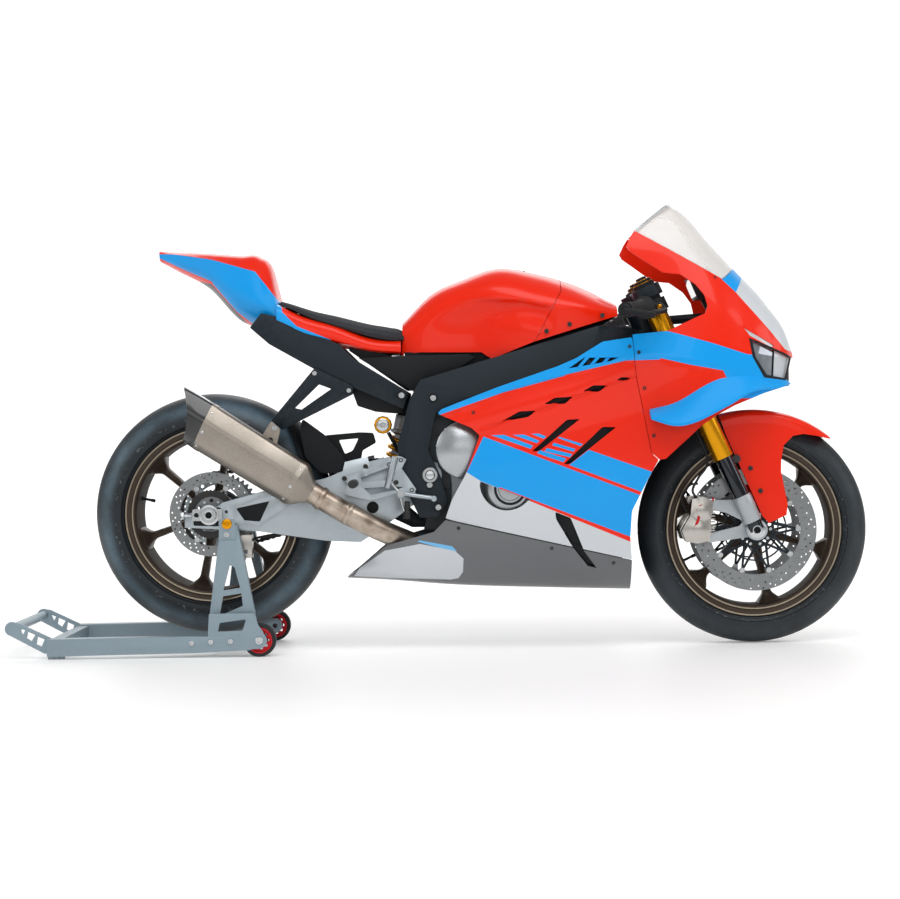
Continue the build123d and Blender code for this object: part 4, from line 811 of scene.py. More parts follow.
fairing = {
    "inside": (250, 0, 500),  # a point well within the shell
    "wall": 3.5,
    "sections": [  # x, then the outer edge (y, z) from top to bottom
        (-10, [(160, 690), (172, 600), (188, 532), (184, 440), (170, 340), (150, 200)]),
        (180, [(172, 740), (186, 664), (208, 593), (205, 470), (196, 340), (176, 200)]),
        (350, [(178, 790), (194, 705), (215, 646), (212, 500), (203, 340), (182, 200)]),
        (500, [(186, 812), (204, 742), (216, 694), (214, 520), (205, 340), (184, 200)]),
        (600, [(186, 812), (204, 760), (216, 720), (213, 540), (203, 340), (180, 200)]),
    ],
    "stripLow": [(14, 611), (52, 613), (182, 664), (339, 705), (495, 740), (604, 741)],
    "stripRaise": 4.5,
    "slotLine": [(120, 571), (174, 589), (263, 616), (356, 648), (439, 676), (502, 695), (600, 720)],
    "slotSink": 5.0,
    "seam": [(513, 799), (520, 698), (536, 612), (556, 504), (575, 487)],
}
panelSeam = fairing["seam"]
louvres = [
    [(175, 589), (223, 615), (266, 616), (245, 600)], [(285, 632), (312, 648), (360, 650), (338, 632)],
    [(384, 663), (410, 678), (448, 677), (424, 661)], [(469, 690), (483, 698), (507, 695), (492, 687)],
    [(253, 513), (271, 513), (376, 593), (343, 592)], [(333, 479), (349, 479), (467, 571), (432, 572)],
    [(310, 358), (349, 342), (383, 256), (415, 211), (392, 217), (354, 266), (312, 339)],
]
gillOutline = [(349, 722), (389, 749), (478, 748), (456, 739)]


def fairingGrid(side):
    # side panel: the section edge smoothed, raised above the strip's lower line, sunk under the slot line
    grid = ringSurface(fairing["sections"], np.linspace(-10, 600, 124), 84, mirrored=False)
    x, z = grid[..., 0], grid[..., 2]
    raised = fairing["stripRaise"] * smoothStep(z - heightOver(fairing["stripLow"], x), -3, 3)
    sunk = heightOver(fairing["slotLine"], x) - z
    sunk = -fairing["slotSink"] * smoothStep(sunk, -2, 5) * (1 - smoothStep(sunk, 20, 110)) * smoothStep(x, 100, 190)
    grid[..., 1] = (grid[..., 1] + raised + sunk - 3) * side
    return grid


def buildSidePanels():
    keep = [(14, 612), (23, 623), (164, 676), (321, 728), (369, 748), (437, 789)] + [(x - 0.8, z) for x, z in panelSeam] + [
        (553, 451), (505, 358), (500, 289), (504, 233)] + [(30, 343), (48, 393), (84, 457), (121, 555), (100, 575)]
    keep = roundLoop(keep, 3, 1)
    port = [(121, 438)] + [(188 + 69 * math.cos(a),
                            432 + 69 * math.sin(a)) for a in np.radians(np.linspace(184, 320, 24))] + [(253, 388)]
    for side, name in ((-1, "right"), (1, "left")):
        node = f"side_fairing_{name}"
        mesh = panelMesh(node, fairingGrid(side), keep=[keep], cuts=[roundLoop(c, 3, 1) for c in louvres] + [gillOutline, port])
        newSkin(f"sidePanel_{name}", mesh, fairing["inside"], fairing["wall"], fairingPaint, node, angle=32)
        # blue vanes behind the upper gill, and a dark sheet behind the slots as painted shade for the inside seen
        # through them
        vanes = []
        for index in range(4):
            x = 366 + 27 * index
            vanes.append(platePart([[(x + 4, 723), (x + 13, 722), (x + 36, 748), (x + 27, 750)]], side * 186, side * 197, 0.8))
        newPiece(f"gillVanes_{name}", vanes, bluePaint, node)
        shadeSheet = panelMesh("shadeSheet", fairingGrid(side) * (1, 0.93, 1),
                           keep=[[(160, 590), (245, 470), (330, 440), (290, 360), (330, 320), (370, 242), (430, 242),
                                  (400, 400), (520, 560), (520, 712), (400, 765), (330, 735), (160, 610)]])
        newSkin(f"fairingShadeSheet_{name}", shadeSheet, fairing["inside"], 1.5, mattBlack, node, stands=False)


nose = {
    "inside": (600, 0, 760),  # a point well within the shell
    "wall": 3.5,
    "sections": [  # x, then half section (y, z): crown, brow, shoulder, belt, edge
        (500, [(0, 1150), (75, 1125), (125, 1070), (152, 950), (186, 800), (216, 694), (213, 430)]),
        (640, [(0, 1157), (70, 1135), (118, 1060), (160, 930), (200, 800), (216, 700), (206, 430)]),
        (735, [(0, 1052), (65, 1035), (120, 985), (165, 890), (192, 785), (200, 700), (190, 430)]),
        (792, [(0, 988), (60, 972), (115, 930), (155, 850), (180, 765), (184, 700), (172, 430)]),
        (876, [(0, 891), (55, 880), (100, 850), (130, 805), (145, 748), (140, 700), (120, 430)]),
        (923, [(0, 816), (45, 810), (75, 795), (90, 770), (95, 745), (90, 715), (70, 430)]),
        (941, [(0, 768), (25, 764), (40, 758), (48, 750), (50, 742), (46, 730), (35, 430)]),
    ],
    "creases": (4,),
    "lamp": [(820, 787), (929, 742), (912, 690), (858, 699), (828, 744)],
    "lampRim": [(812, 794), (934, 746), (915, 685), (851, 692), (820, 745)],
    "lampBrow": [(798, 822), (880, 775), (876, 767), (815, 799)],
}


def noseGrid():
    sections = [(x, [p for i, p in enumerate(half) for p in ([p] * (2 if i in nose["creases"] else 1))]) for x,
                half in nose["sections"]]
    xs = np.concatenate([np.linspace(500, 860, 74), np.linspace(864, 941, 24)])
    grid = ringSurface(sections, xs, 168)
    x, z = grid[..., 0], grid[..., 2]
    low = [(500, 741), (560, 744), (604, 741), (685, 725), (744, 708), (900, 700)]
    top = [(500, 800), (613, 807), (716, 779), (812, 749), (900, 720)]
    band = smoothStep(z - heightOver(low, x), -3,
                      3) * (1 - smoothStep(z - heightOver(top, x), 20, 60)) * smoothStep(-x, -800, -740)
    grid[..., 1] = grid[..., 1] * (1 - 0.016 * (1 - band) * smoothStep(-z, -800, -760))
    return grid


browLight = makeFinish("browLight", (196, 200, 204), roughness=0.2, amount=0.2, coat=0.8)


def buildNose():
    grid = noseGrid()
    keep = [(752, 946), (527, 1077), (516, 1060), (505, 1036), (512, 1024), (560, 990), (596, 965), (640, 960), (678, 934),
            (700, 905), (707, 878),
            (700, 858), (600, 813), (514, 806)] + [(x + 0.8, z) for x, z in panelSeam] + [
                (592, 489), (686, 573), (725, 598), (772, 622), (850, 652), (934, 676), (911, 691), (927, 743), (990, 752),
                (990, 1000), (838, 1000), (793, 982)]
    lamps = [roundLoop(nose["lamp"], 4, 2)]
    mesh = panelMesh("nose", grid, keep=[keep], cuts=lamps + [nose["lampBrow"]])
    newSkin("noseCowl", mesh, nose["inside"], nose["wall"], nosePaint, "nose_fairing", angle=34)
    # lamps: a sunk lens inside each opening, a pale brow light above
    outer = lambda x, y, z: np.abs(y) > 40
    for name, outline, finish in (("lampLenses", [(813, 794), (876, 770), (872, 692), (846, 692), (818, 746)], lensClear),
                                  ("lampPositions", [(882, 768), (932, 748), (914, 686), (878, 688)], browLight)):
        lens = panelMesh(name, grid * (0.994, 0.968, 1), keep=[outline], keepSide=outer)
        newSkin(name, lens, nose["inside"], 2.0, finish, "headlamps")
    rim = panelMesh("lampRim", grid * (1, 1.004, 1), keep=[roundLoop(nose["lampRim"], 3, 2)],
                    cuts=[roundLoop(nose["lamp"], 3, 2)], keepSide=outer)
    newSkin("lampRims", rim, nose["inside"], 3.0, mattBlack, "nose_fairing", stands=False)
    duct = panelMesh("duct", grid * (0.99, 0.9, 1), keep=[[(800, 770), (932, 760), (932, 672), (840, 660), (780, 700)]])
    newSkin("intakeLining", duct, nose["inside"], 1.5, mattBlack, "nose_fairing", stands=False)
    brow = panelMesh("brow", grid * (0.998, 0.985, 1), keep=[[(796, 824), (883, 777), (879, 765), (813, 798)]])
    newSkin("browLights", brow, nose["inside"], 2.0, browLight, "nose_fairing", stands=False)
    screen = panelMesh("screen", grid - (0, 0, 1.9),
                       keep=[[(528, 1079), (598, 1136), (626, 1158), (700, 1166), (838, 1002), (794, 984), (752, 948)]])
    newSkin("screenBubble", screen, nose["inside"], 2.6, screenClear, "windscreen", angle=60)
    edge = panelMesh("edge", grid - (0, 0, 1.9),
                     keep=[[(528, 1079), (598, 1136), (624, 1155), (650, 1155), (601, 1132), (531.5, 1076)]])
    newSkin("screenEdge", edge, nose["inside"], 1.6, browLight, "windscreen", stands=False, angle=60)


belly = {
    "inside": (150, 0, 260),  # a point well within the shell
    "wall": 3.5,
    "sections": [  # x, then half section (y, z) from top edge to keel
        (-235, [(62, 226), (60, 205), (48, 190), (20, 184)]), (-123, [(150, 300), (148, 240), (100, 186), (30, 178)]),
        (30, [(176, 352), (176, 262), (116, 172), (36, 166)]), (300, [(201, 352), (196, 252), (124, 160), (40, 154)]),
        (506, [(206, 352), (196, 242), (116, 152), (38, 148)]),
    ],
}


def bellyGrid():
    return ringSurface([(x, half + [(-y, z) for y, z in reversed(half)]) for x, half in belly["sections"]],
                       np.linspace(-233, 505, 120), 96, mirrored=False)


def buildBelly():
    grid = bellyGrid()
    keep = [(-232, 186), (-152, 253), (-123, 276), (0, 310), (30, 340), (504.5, 230), (504.5, 120), (-232, 120)]
    mesh = panelMesh("belly", grid, keep=[keep], cuts=[louvres[-1]])
    newSkin("bellyTray", mesh, belly["inside"], belly["wall"], bellyPaint, "belly_pan", angle=34)
    # dark sheet behind the belly's opening: painted shade for the inside seen through it
    shadeSheet = panelMesh("bellyShadeSheet", grid * (1, 0.94, 1), keep=[[(320, 290), (420, 250), (445, 196), (375, 202)]])
    newSkin("bellyShadeSheet", shadeSheet, belly["inside"], 1.5, mattBlack, "belly_pan", stands=False)


tank = {
    "sections": [
        (-77, [(0, 853), (45, 850), (72, 832), (80, 800), (80, 768)]),
        (0, [(0, 930), (60, 922), (98, 880), (100, 820), (98, 764)]),
        (80, [(0, 966), (78, 957), (124, 912), (108, 842), (102, 764)]),
        (170, [(0, 994), (88, 985), (154, 924), (132, 842), (122, 740)]),
        (270, [(0, 980), (92, 970), (169, 908), (162, 842), (150, 765)]),
        (380, [(0, 946), (92, 936), (163, 890), (160, 858), (151, 790)]),
        (480, [(0, 893), (72, 890), (118, 876), (130, 866), (131, 826)]),
    ],
    "seam": [(336, 1100), (336, 924), (266, 794), (266, 600)],
}


def buildTank():
    xs = np.linspace(-77, 480, 110)
    grid = ringSurface(tank["sections"], xs, 120)
    x, y, z = grid[..., 0], grid[..., 1], grid[..., 2]
    # knee hollow, and a scoop that starts sharply below a crease along the flank
    hollow = np.exp(-(((x - 95) / 95) ** 2 + ((z - 838) / 48) ** 2))
    below = heightOver([(0, 907), (145, 910), (237, 903), (305, 888)], x) - z
    scoop = smoothStep(below, 0, 15) * (1 - smoothStep(below, 24, 82)) * smoothStep(x, 50, 210) * (1 - smoothStep(x, 285, 332))
    grid[..., 1] = y * (1 - 0.07 * hollow - 0.085 * scoop)
    ends = grid[:1] * (0, 0, 0) + grid[:1].mean(1, keepdims=True) * (1, 0, 1)
    grid = np.concatenate([ends * (1, 1, 1), grid, grid[-1:] * (0, 0, 0) + grid[-1:].mean(1, keepdims=True) * (1, 0, 1)])
    lower = [(491, 857), (471, 855), (266, 793), (155, 752), (128, 770), (-30, 773), (-80, 770)]
    rear = [(-90, 1100), (335.2, 1100), (335.2, 924), (265.2, 794)] + lower[3:] + [(-90, 770)]
    front = [(336.8, 1100), (336.8, 924), (266.8, 794)] + lower[1::-1] + [(500, 857), (500, 1100)]
    frontMesh = panelMesh("tankFront", grid, keep=[front])
    rearMesh = panelMesh("tankRear", grid, keep=[rear])
    newSkin("tankShell", rearMesh, (150, 0, 850), 3.0, redPaint, "fuel_tank", angle=34)
    newSkin("tankCover", frontMesh, (380, 0, 850), 3.0, redPaint, "tank_front_cover", angle=34)
    cap = [(-6, 34), (3, 34), (4.5, 32.5), (4.5, 27), (2.5, 25.5), (2.5, 20), (6, 18.5), (6, 8), (4, 6)]
    newPiece("tankCap", [turnedPart(cap, (214, 0, 981), (0.05, 0, 1), 48)] + [
        screwPart((214 + 30 * math.cos(a), 30 * math.sin(a), 985), (0.05, 0, 1), 2.6,
                  2.2) for a in np.arange(6) * math.pi / 3], satinBlack, "fuel_tank")
    bolts = [screws([(296, side * 163, 819), (355, side * 161, 836), (440, side * 148, 858)], (0, side, 0.05), 6,
                    3) for side in (-1, 1)]
    newPiece("tankBolts", bolts, darkSteel, "fuel_tank")


tail = {
    "sections": [  # x, then half section (y, z): crown, edge, flank, lower edge, keel
        (-716, [(0, 1055), (16, 1053), (24, 1046), (20, 1030), (0, 1026)]),
        (-669, [(0, 1050), (42, 1047), (60, 1040), (50, 1008), (0, 1000)]),
        (-590, [(0, 1046), (54, 1042), (82, 1027), (66, 972), (0, 956)]),
        (-500, [(0, 1038), (60, 1034), (96, 1003), (86, 886), (0, 864)]),
        (-447, [(0, 1033), (62, 1029), (99, 985), (99, 852), (0, 846)]),
        (-420, [(0, 1006), (58, 1002), (92, 944), (102, 846), (0, 840)]),
        (-398, [(0, 912), (60, 910), (98, 893), (104, 838), (0, 836)]),
    ],
    "creases": (2,),
}


def buildTail():
    sections = [(x, [p for i, p in enumerate(half) for p in ([p] * (2 if i in tail["creases"] else 1))]) for x,
                half in tail["sections"]]
    grid = ringSurface(sections, np.linspace(-716, -398, 90), 120)
    newPiece("tailCowl", [gridPart(grid, closeCols=False, caps=False)], tailPaint, "tail_cowl", ["tail_cowl"], merge=0.01,
             angle=30)


seat = {
    "base": [  # x, then half section (y, z): top, rolled edge, side, under
        (-400, [(0, 905), (76, 905), (108, 900), (118, 880), (116, 846), (0, 846)]),
        (-330, [(0, 872), (84, 872), (112, 866), (120, 846), (118, 814), (0, 812)]),
        (-250, [(0, 850), (86, 850), (112, 842), (121, 824), (119, 796), (0, 794)]),
        (-160, [(0, 815), (86, 815), (112, 806), (119, 790), (117, 776), (0, 774)]),
        (-80, [(0, 806), (86, 806), (106, 796), (112, 782), (110, 768), (0, 768)]),
    ],
    "pad": [  # x, half width, middle height, edge height, thickness
        (-393, 84, 915, 906, 6), (-370, 98, 908, 899, 11), (-309, 108, 888, 873, 20), (-250, 112, 874, 855, 23),
        (-160, 112, 851, 832, 31),
        (-110, 108, 842, 822, 31), (-84, 98, 836, 817, 26), (-72, 84, 828, 812, 14)],
}


def buildSeat():
    grid = ringSurface(seat["base"], np.linspace(-400, -80, 70), 96)
    newPiece("seatBase", [gridPart(grid, caps=False)], tailPaint, "seat_base", ["seat_base"], merge=0.01, angle=32)
    # pad: crowned top over a flat underside, edges rolled, ends drawn in
    table = np.array(seat["pad"], float)
    xs = np.linspace(table[0, 0], table[-1, 0], 90)
    halfWidth, middle, edge, thick = (throughWeights(table[:, 0], xs) @ table[:, k] for k in (1, 2, 3, 4))
    v = np.linspace(-1, 1, 49)
    crown = 1 - np.abs(v) ** 2.6
    top = edge[:, None] + (middle - edge)[:, None] * crown[None] - 7 * smoothStep(np.abs(v), 0.9, 1.0)[None]
    deep = thick[:, None] * (1 - 0.45 * smoothStep(np.abs(v), 0.7, 1.0))[None] - 7 * smoothStep(np.abs(v), 0.9, 1)[None]
    bottom = top - np.maximum(deep, 3)
    points = np.zeros((len(xs), 2 * len(v) - 2, 3))
    points[..., 0] = xs[:, None]
    points[:, :len(v), 1] = v * halfWidth[:, None]
    points[:, :len(v), 2] = top
    points[:, len(v):, 1] = v[-2:0:-1] * halfWidth[:, None]
    points[:, len(v):, 2] = bottom[:, -2:0:-1]
    pad = newPiece("seatPad", [gridPart(points, closeCols=True, caps=True)], foamBlack, "seat_pad", ["seat_pad"], angle=60)


fender = {
    "crown": 312.0, "half": 80.5, "angles": (24, 128),
    "outline": [(744, 596), (772, 612), (760, 700), (1060, 700), (1034, 534), (1010, 538), (962, 546), (934, 541), (910, 517),
                (903, 480),
                (902, 449), (918, 364), (914, 330), (896, 308), (880, 305), (852, 334), (800, 455), (759, 550)],
}


def archGrid(centre, angles, radius, half, skirt, rows, cols, corner=22):
    # mudguard: an arch across the tyre with flanks that drop towards the axle
    turn = np.radians(np.linspace(*angles, rows))
    flank = np.array([(half, skirt), (half, radius - corner), (half - corner * 0.35, radius - corner * 0.35),
                      (half - corner, radius - 2), (half * 0.45, radius)])
    section = np.vstack([flank * (-1, 1), flank[::-1]])
    section = splineWeights(len(section), cols) @ section
    grid = np.zeros((rows, cols, 3))
    grid[..., 0] = centre[0] + section[:, 1] * np.cos(turn)[:, None]
    grid[..., 1] = section[:, 0]
    grid[..., 2] = centre[1] + section[:, 1] * np.sin(turn)[:, None]
    return grid


def buildFender():
    grid = archGrid((frontX, frontZ), fender["angles"], fender["crown"], fender["half"], 0.0, 110, 120)
    mesh = panelMesh("fender", grid, keep=[fender["outline"]])
    newSkin("frontFender", mesh, (833, 0, 420), 3.0, redPaint, "front_fender", angle=40)
    lugs = []
    for side in (-1, 1):
        spot = forkPoint(188, side * 76, -30)
        lugs += [rodPart(spot, spot + (0, side * 22, 0), 11)]
        lugs += [screws([(823, side * 80.5, 459), (848, side * 80.5, 400)], (0, side, 0), 6, 3.5)]
    newPiece("fenderLugs", lugs, darkSteel, "front_fender")


hugger = {
    "centre": 221.88, "outer": 107.12, "reach": 60.0, "angles": (12, 60),
    "outline": [(238, 137), (304, 114), (310, 76), (380, 76), (380, 200), (250, 290), (180, 290)],
    "brace": [(229, 190), (306, 202), (388, 208), (424, 206), (431, 180), (395, 160), (385, 98), (347, 98), (300, 150)],
    "window": [(334, 188), (385, 192), (369, 160), (349, 152)],
}


def buildHugger():
    # an arch of round section carried round the rear axle, trimmed to its outline
    turn = np.radians(np.linspace(hugger["angles"][0], hugger["angles"][1], 60))[:, None]
    section = np.radians(np.linspace(-hugger["reach"], hugger["reach"], 60))[None]
    out = hugger["centre"] + hugger["outer"] * np.cos(section)
    grid = np.stack([rearX + out * np.cos(turn), hugger["outer"] * np.sin(section) + 0 * turn, rearZ + out * np.sin(turn)], -1)
    outline = roundLoop(np.array(hugger["outline"], float) + (rearX, rearZ), 12, 3)
    mesh = panelMesh("hugger", grid, keep=[outline])
    newSkin("rearHugger", mesh, (-450, 0, 450), 3.0, mattBlack, "rear_hugger", angle=40)
    loops = [roundLoop(np.array(loop, float) + (rearX, rearZ), radius, 3) for loop,
             radius in ((hugger["brace"], 5), (hugger["window"], 4))]
    lug = gridPart(np.array([[(-268, y, z) for y, z in ((-30, 440), (30, 440), (30, 462), (-30, 462))],
                             [(-241, y, z) for y, z in ((-30, 440), (30, 440), (30, 462), (-30, 462))]], float),
                   closeCols=True, caps=True)
    wing = roundLoop([(-339, 606), (-278, 560), (-228, 497), (-229, 466), (-291, 461), (-333, 504), (-346, 572)], 10, 4)
    newPiece("huggerBrace", [platePart(loops, -70, -64, 1.2), lug, platePart([wing], -99, -96, 1.2)], mattBlack, "rear_hugger")


winglet = {  # x, then inner (y, z) and outer (y, z) of the upper face
    "stations": [(892, (108, 688), (132, 671)), (815, (158, 712), (198, 661)), (745, (182, 708), (230, 624)),
                 (606, (206, 630), (266, 579)), (552, (206, 616), (262, 596))],
    "thick": (16, 8),
}


def buildWinglets():
    # swept blade: a thin rounded section from inner to outer edge, passed through its stations along X
    table = winglet["stations"]
    xs = np.linspace(552, 892, 70)
    weights = throughWeights([row[0] for row in table][::-1], xs)
    inner, outer = (weights @ np.array([row[k] for row in table][::-1], float) for k in (1, 2))
    rows = [inner, inner * 0.5 + outer * 0.5 + (0, 2.5), outer, outer - (1.5, 5), outer - (3, winglet["thick"][1]),
            inner * 0.5 + outer * 0.5 - (2, 11), inner - (0, winglet["thick"][0])]
    ring = np.stack(rows, 1)
    grid = np.zeros((len(xs), len(rows), 3))
    grid[..., 0] = xs[:, None]
    parts = []
    for side in (-1, 1):
        grid[..., 1], grid[..., 2] = ring[..., 0] * side, ring[..., 1]
        parts.append(gridPart(grid.copy(), closeCols=True, caps=True))
    newPiece("winglets", parts, makeFinish("wingPaint", livery["blue"], **{**paintLook, "coat": 0.05, "roughness": 0.45}),
             "winglets", ["winglets"], bevel=1.8, angle=30)


buildSidePanels()
buildNose()
buildBelly()
buildTank()
buildTail()
buildSeat()
buildFender()
buildHugger()
buildWinglets()
print("stage: bodywork")


barrelRadius = 201
wheels = {
    "front": {"centre": (frontX, frontZ), "half": 50.0, "hub": 30.0, "hubHalf": 52.0, "bore": 12.6, "phase": 42.5,
              "tyre": 300.0, "tyreHalf": 59.0, "valve": 205.0},
    "rear": {"centre": (rearX, rearZ), "half": 76.0, "hub": 34.0, "hubHalf": 62.0, "bore": 12.6, "phase": 19.0,
             "tyre": 315.0, "tyreHalf": 90.0, "valve": 168.0},
}


def mirrorProfile(rows):
    # (y, r) rows for one side, then the same rows back along the other side
    rows = np.asarray(rows, float)
    return np.vstack([rows, rows[::-1] * (-1, 1)])


def crownArc(half, low, top, count=15):
    # arc of (y, r) over the crown from one shoulder to the middle
    radius = (half ** 2 + (top - low) ** 2) / (2 * (top - low))
    spread = math.asin(half / radius)
    turn = np.linspace(spread, 0, count)
    return np.column_stack([radius * np.sin(turn), top - radius + radius * np.cos(turn)])


def buildTyre(name, w):
    half, top = w["tyreHalf"], w["tyre"]
    bead = w["half"] - 5.3
    shoulder = top - 0.68 * half - 8
    wall = [(bead, 218.3), (bead, 230), (bead + 2, 231.5), (bead + 5.5, 231.8), (bead + 6.5, 233.6), (bead + 5.6, 235.2),
            (bead + (half - bead) * 0.62, 239), (bead + (half - bead) * 0.72, 241.6), (bead + (half - bead) * 0.7, 242.6),
            (half - 1.6, shoulder - 8), (half - 0.4, shoulder - 2)]
    profile = mirrorProfile(np.vstack([wall, crownArc(half, shoulder, top)[:-1], [(0.01, top)]]))
    newPiece(f"{name}Slick", [latheRing(profile, w["centre"], 180)], slickRubber[name], f"{name}_tyre", [f"{name}_tyre"],
             angle=50)


def spokePart(w, angle):
    # one spoke along the radius: waisted in the middle, flared at the barrel, pocketed on both faces
    r = np.linspace(w["hub"] - 5, 200.5, 34)
    t = (r - r[0]) / (r[-1] - r[0])
    wide = 15 - 6.5 * smoothStep(t, 0, 0.5) + 1.5 * smoothStep(t, 0.4, 0.8) + 22 * smoothStep(t, 0.78, 1.0) ** 1.6
    deep = w["hubHalf"] * 0.46 - w["hubHalf"] * 0.16 * smoothStep(t, 0, 0.55) + (w["half"] * 0.42) * smoothStep(t, 0.8, 1.0) ** 1.5
    pocket = smoothStep(t, 0.1, 0.2) * (1 - smoothStep(t, 0.78, 0.9))
    section = np.array([(-1, -0.74), (-0.78, -1), (-0.56, -1), (-0.42, -0.7), (0.42, -0.7), (0.56, -1), (0.78, -1), (1, -0.74),
                        (1, 0.74), (0.78, 1), (0.56, 1), (0.42, 0.7), (-0.42, 0.7), (-0.56, 1), (-0.78, 1), (-1, 0.74)])
    inset = np.abs(section[:, 1]) == 0.7
    axial = np.where(inset[None], np.sign(section[:, 1])[None] * (1 - 0.3 * pocket[:, None]), section[None, :, 1])
    side = section[None, :, 0] * wide[:, None]
    angle = math.radians(angle)
    out = np.zeros((len(r), len(section), 3))
    out[..., 0] = w["centre"][0] + r[:, None] * math.cos(angle) - side * math.sin(angle)
    out[..., 1] = axial * deep[:, None]
    out[..., 2] = w["centre"][1] + r[:, None] * math.sin(angle) + side * math.cos(angle)
    return gridPart(out, closeCols=True, caps=True)


def buildRim(name, w):
    half, c = w["half"], w["centre"]
    outer = [(half - 14, 199.4), (half - 5, 200.2), (half - 1, 203.5), (half, 206), (half, 211), (half - 2.2, 213),
             (half - 2.2, 221),
             (half - 0.6, 223), (half - 0.3, 228), (half - 1.6, 229.2), (half - 4.6, 229.2), (half - 5, 227), (half - 5, 218),
             (half - 23, 214), (half - 31, 206)]
    barrel = latheRing(mirrorProfile(outer), c, 144)
    hubHalf, hub, bore = w["hubHalf"], w["hub"], w["bore"]
    hubProfile = [(hubHalf, bore), (hubHalf, hub - 4), (hubHalf - 1.5, hub), (hubHalf - 8, hub), (hubHalf - 11, hub - 3),
                  (hubHalf * 0.5, hub - 3), (hubHalf * 0.42, hub + 3)]
    core = latheRing(mirrorProfile(hubProfile), c, 64)
    spokes = [spokePart(w, w["phase"] + 60 * k) for k in range(6)]
    rim = newPiece(f"{name}Rim", [barrel, core] + spokes, bronzeWheel, f"{name}_rim", [f"{name}_rim"], angle=40)
    # faces on the inside of the barrel take the painted-shade bronze
    tinted(rim, [bronzeWheel, barrelPaintedShade], lambda x, y,
           z: (np.abs(y) < half - 3) & (np.abs(np.hypot(x - c[0], z - c[1]) - barrelRadius) < 5))
    lips = []
    for side in (-1, 1):
        for low, high, y in ((223.4, 227.8, half - 0.3), (206.4, 210.6, half)):
            ring = [(y - 0.4, low), (y + 0.35, low + 0.5), (y + 0.35, high - 0.5), (y - 0.4, high)]
            lips.append(latheRing(np.array(ring) * (side, 1), c, 144))
    newPiece(f"{name}RimLips", lips, machinedLip, f"{name}_rim")
    angle = math.radians(w["valve"])
    direction = np.array((math.cos(angle), 0, math.sin(angle)))
    root = np.array((c[0], 0, c[1])) + direction * barrelRadius
    newPiece(f"{name}Valve", [turnedPart([(0, 5), (1, 7), (4, 7), (5, 3.4), (26, 3.4), (26.5, 4.4), (36, 4.4), (37, 3.4)],
                                         root, -direction, 16)], mattBlack, f"{name}_rim")


discs = {
    "front": {"centre": (frontX, frontZ), "radius": 160.0, "thick": 5.5, "planes": (-70.0, 70.0), "band": 42.0,
              "carrier": 50.0, "bore": 12.6,
              "bobbins": 10, "rows": (133, 140.5, 148, 155), "perRow": 30, "hole": 2.4, "hubHalf": 52.0},
    "rear": {"centre": (rearX, rearZ), "radius": 110.0, "thick": 5.0, "planes": (-85.0,), "band": 28.0, "carrier": 46.0,
             "bore": 12.6,
             "bobbins": 6, "rows": (88, 95.5, 103), "perRow": 30, "hole": 2.5, "hubHalf": 62.0},
}


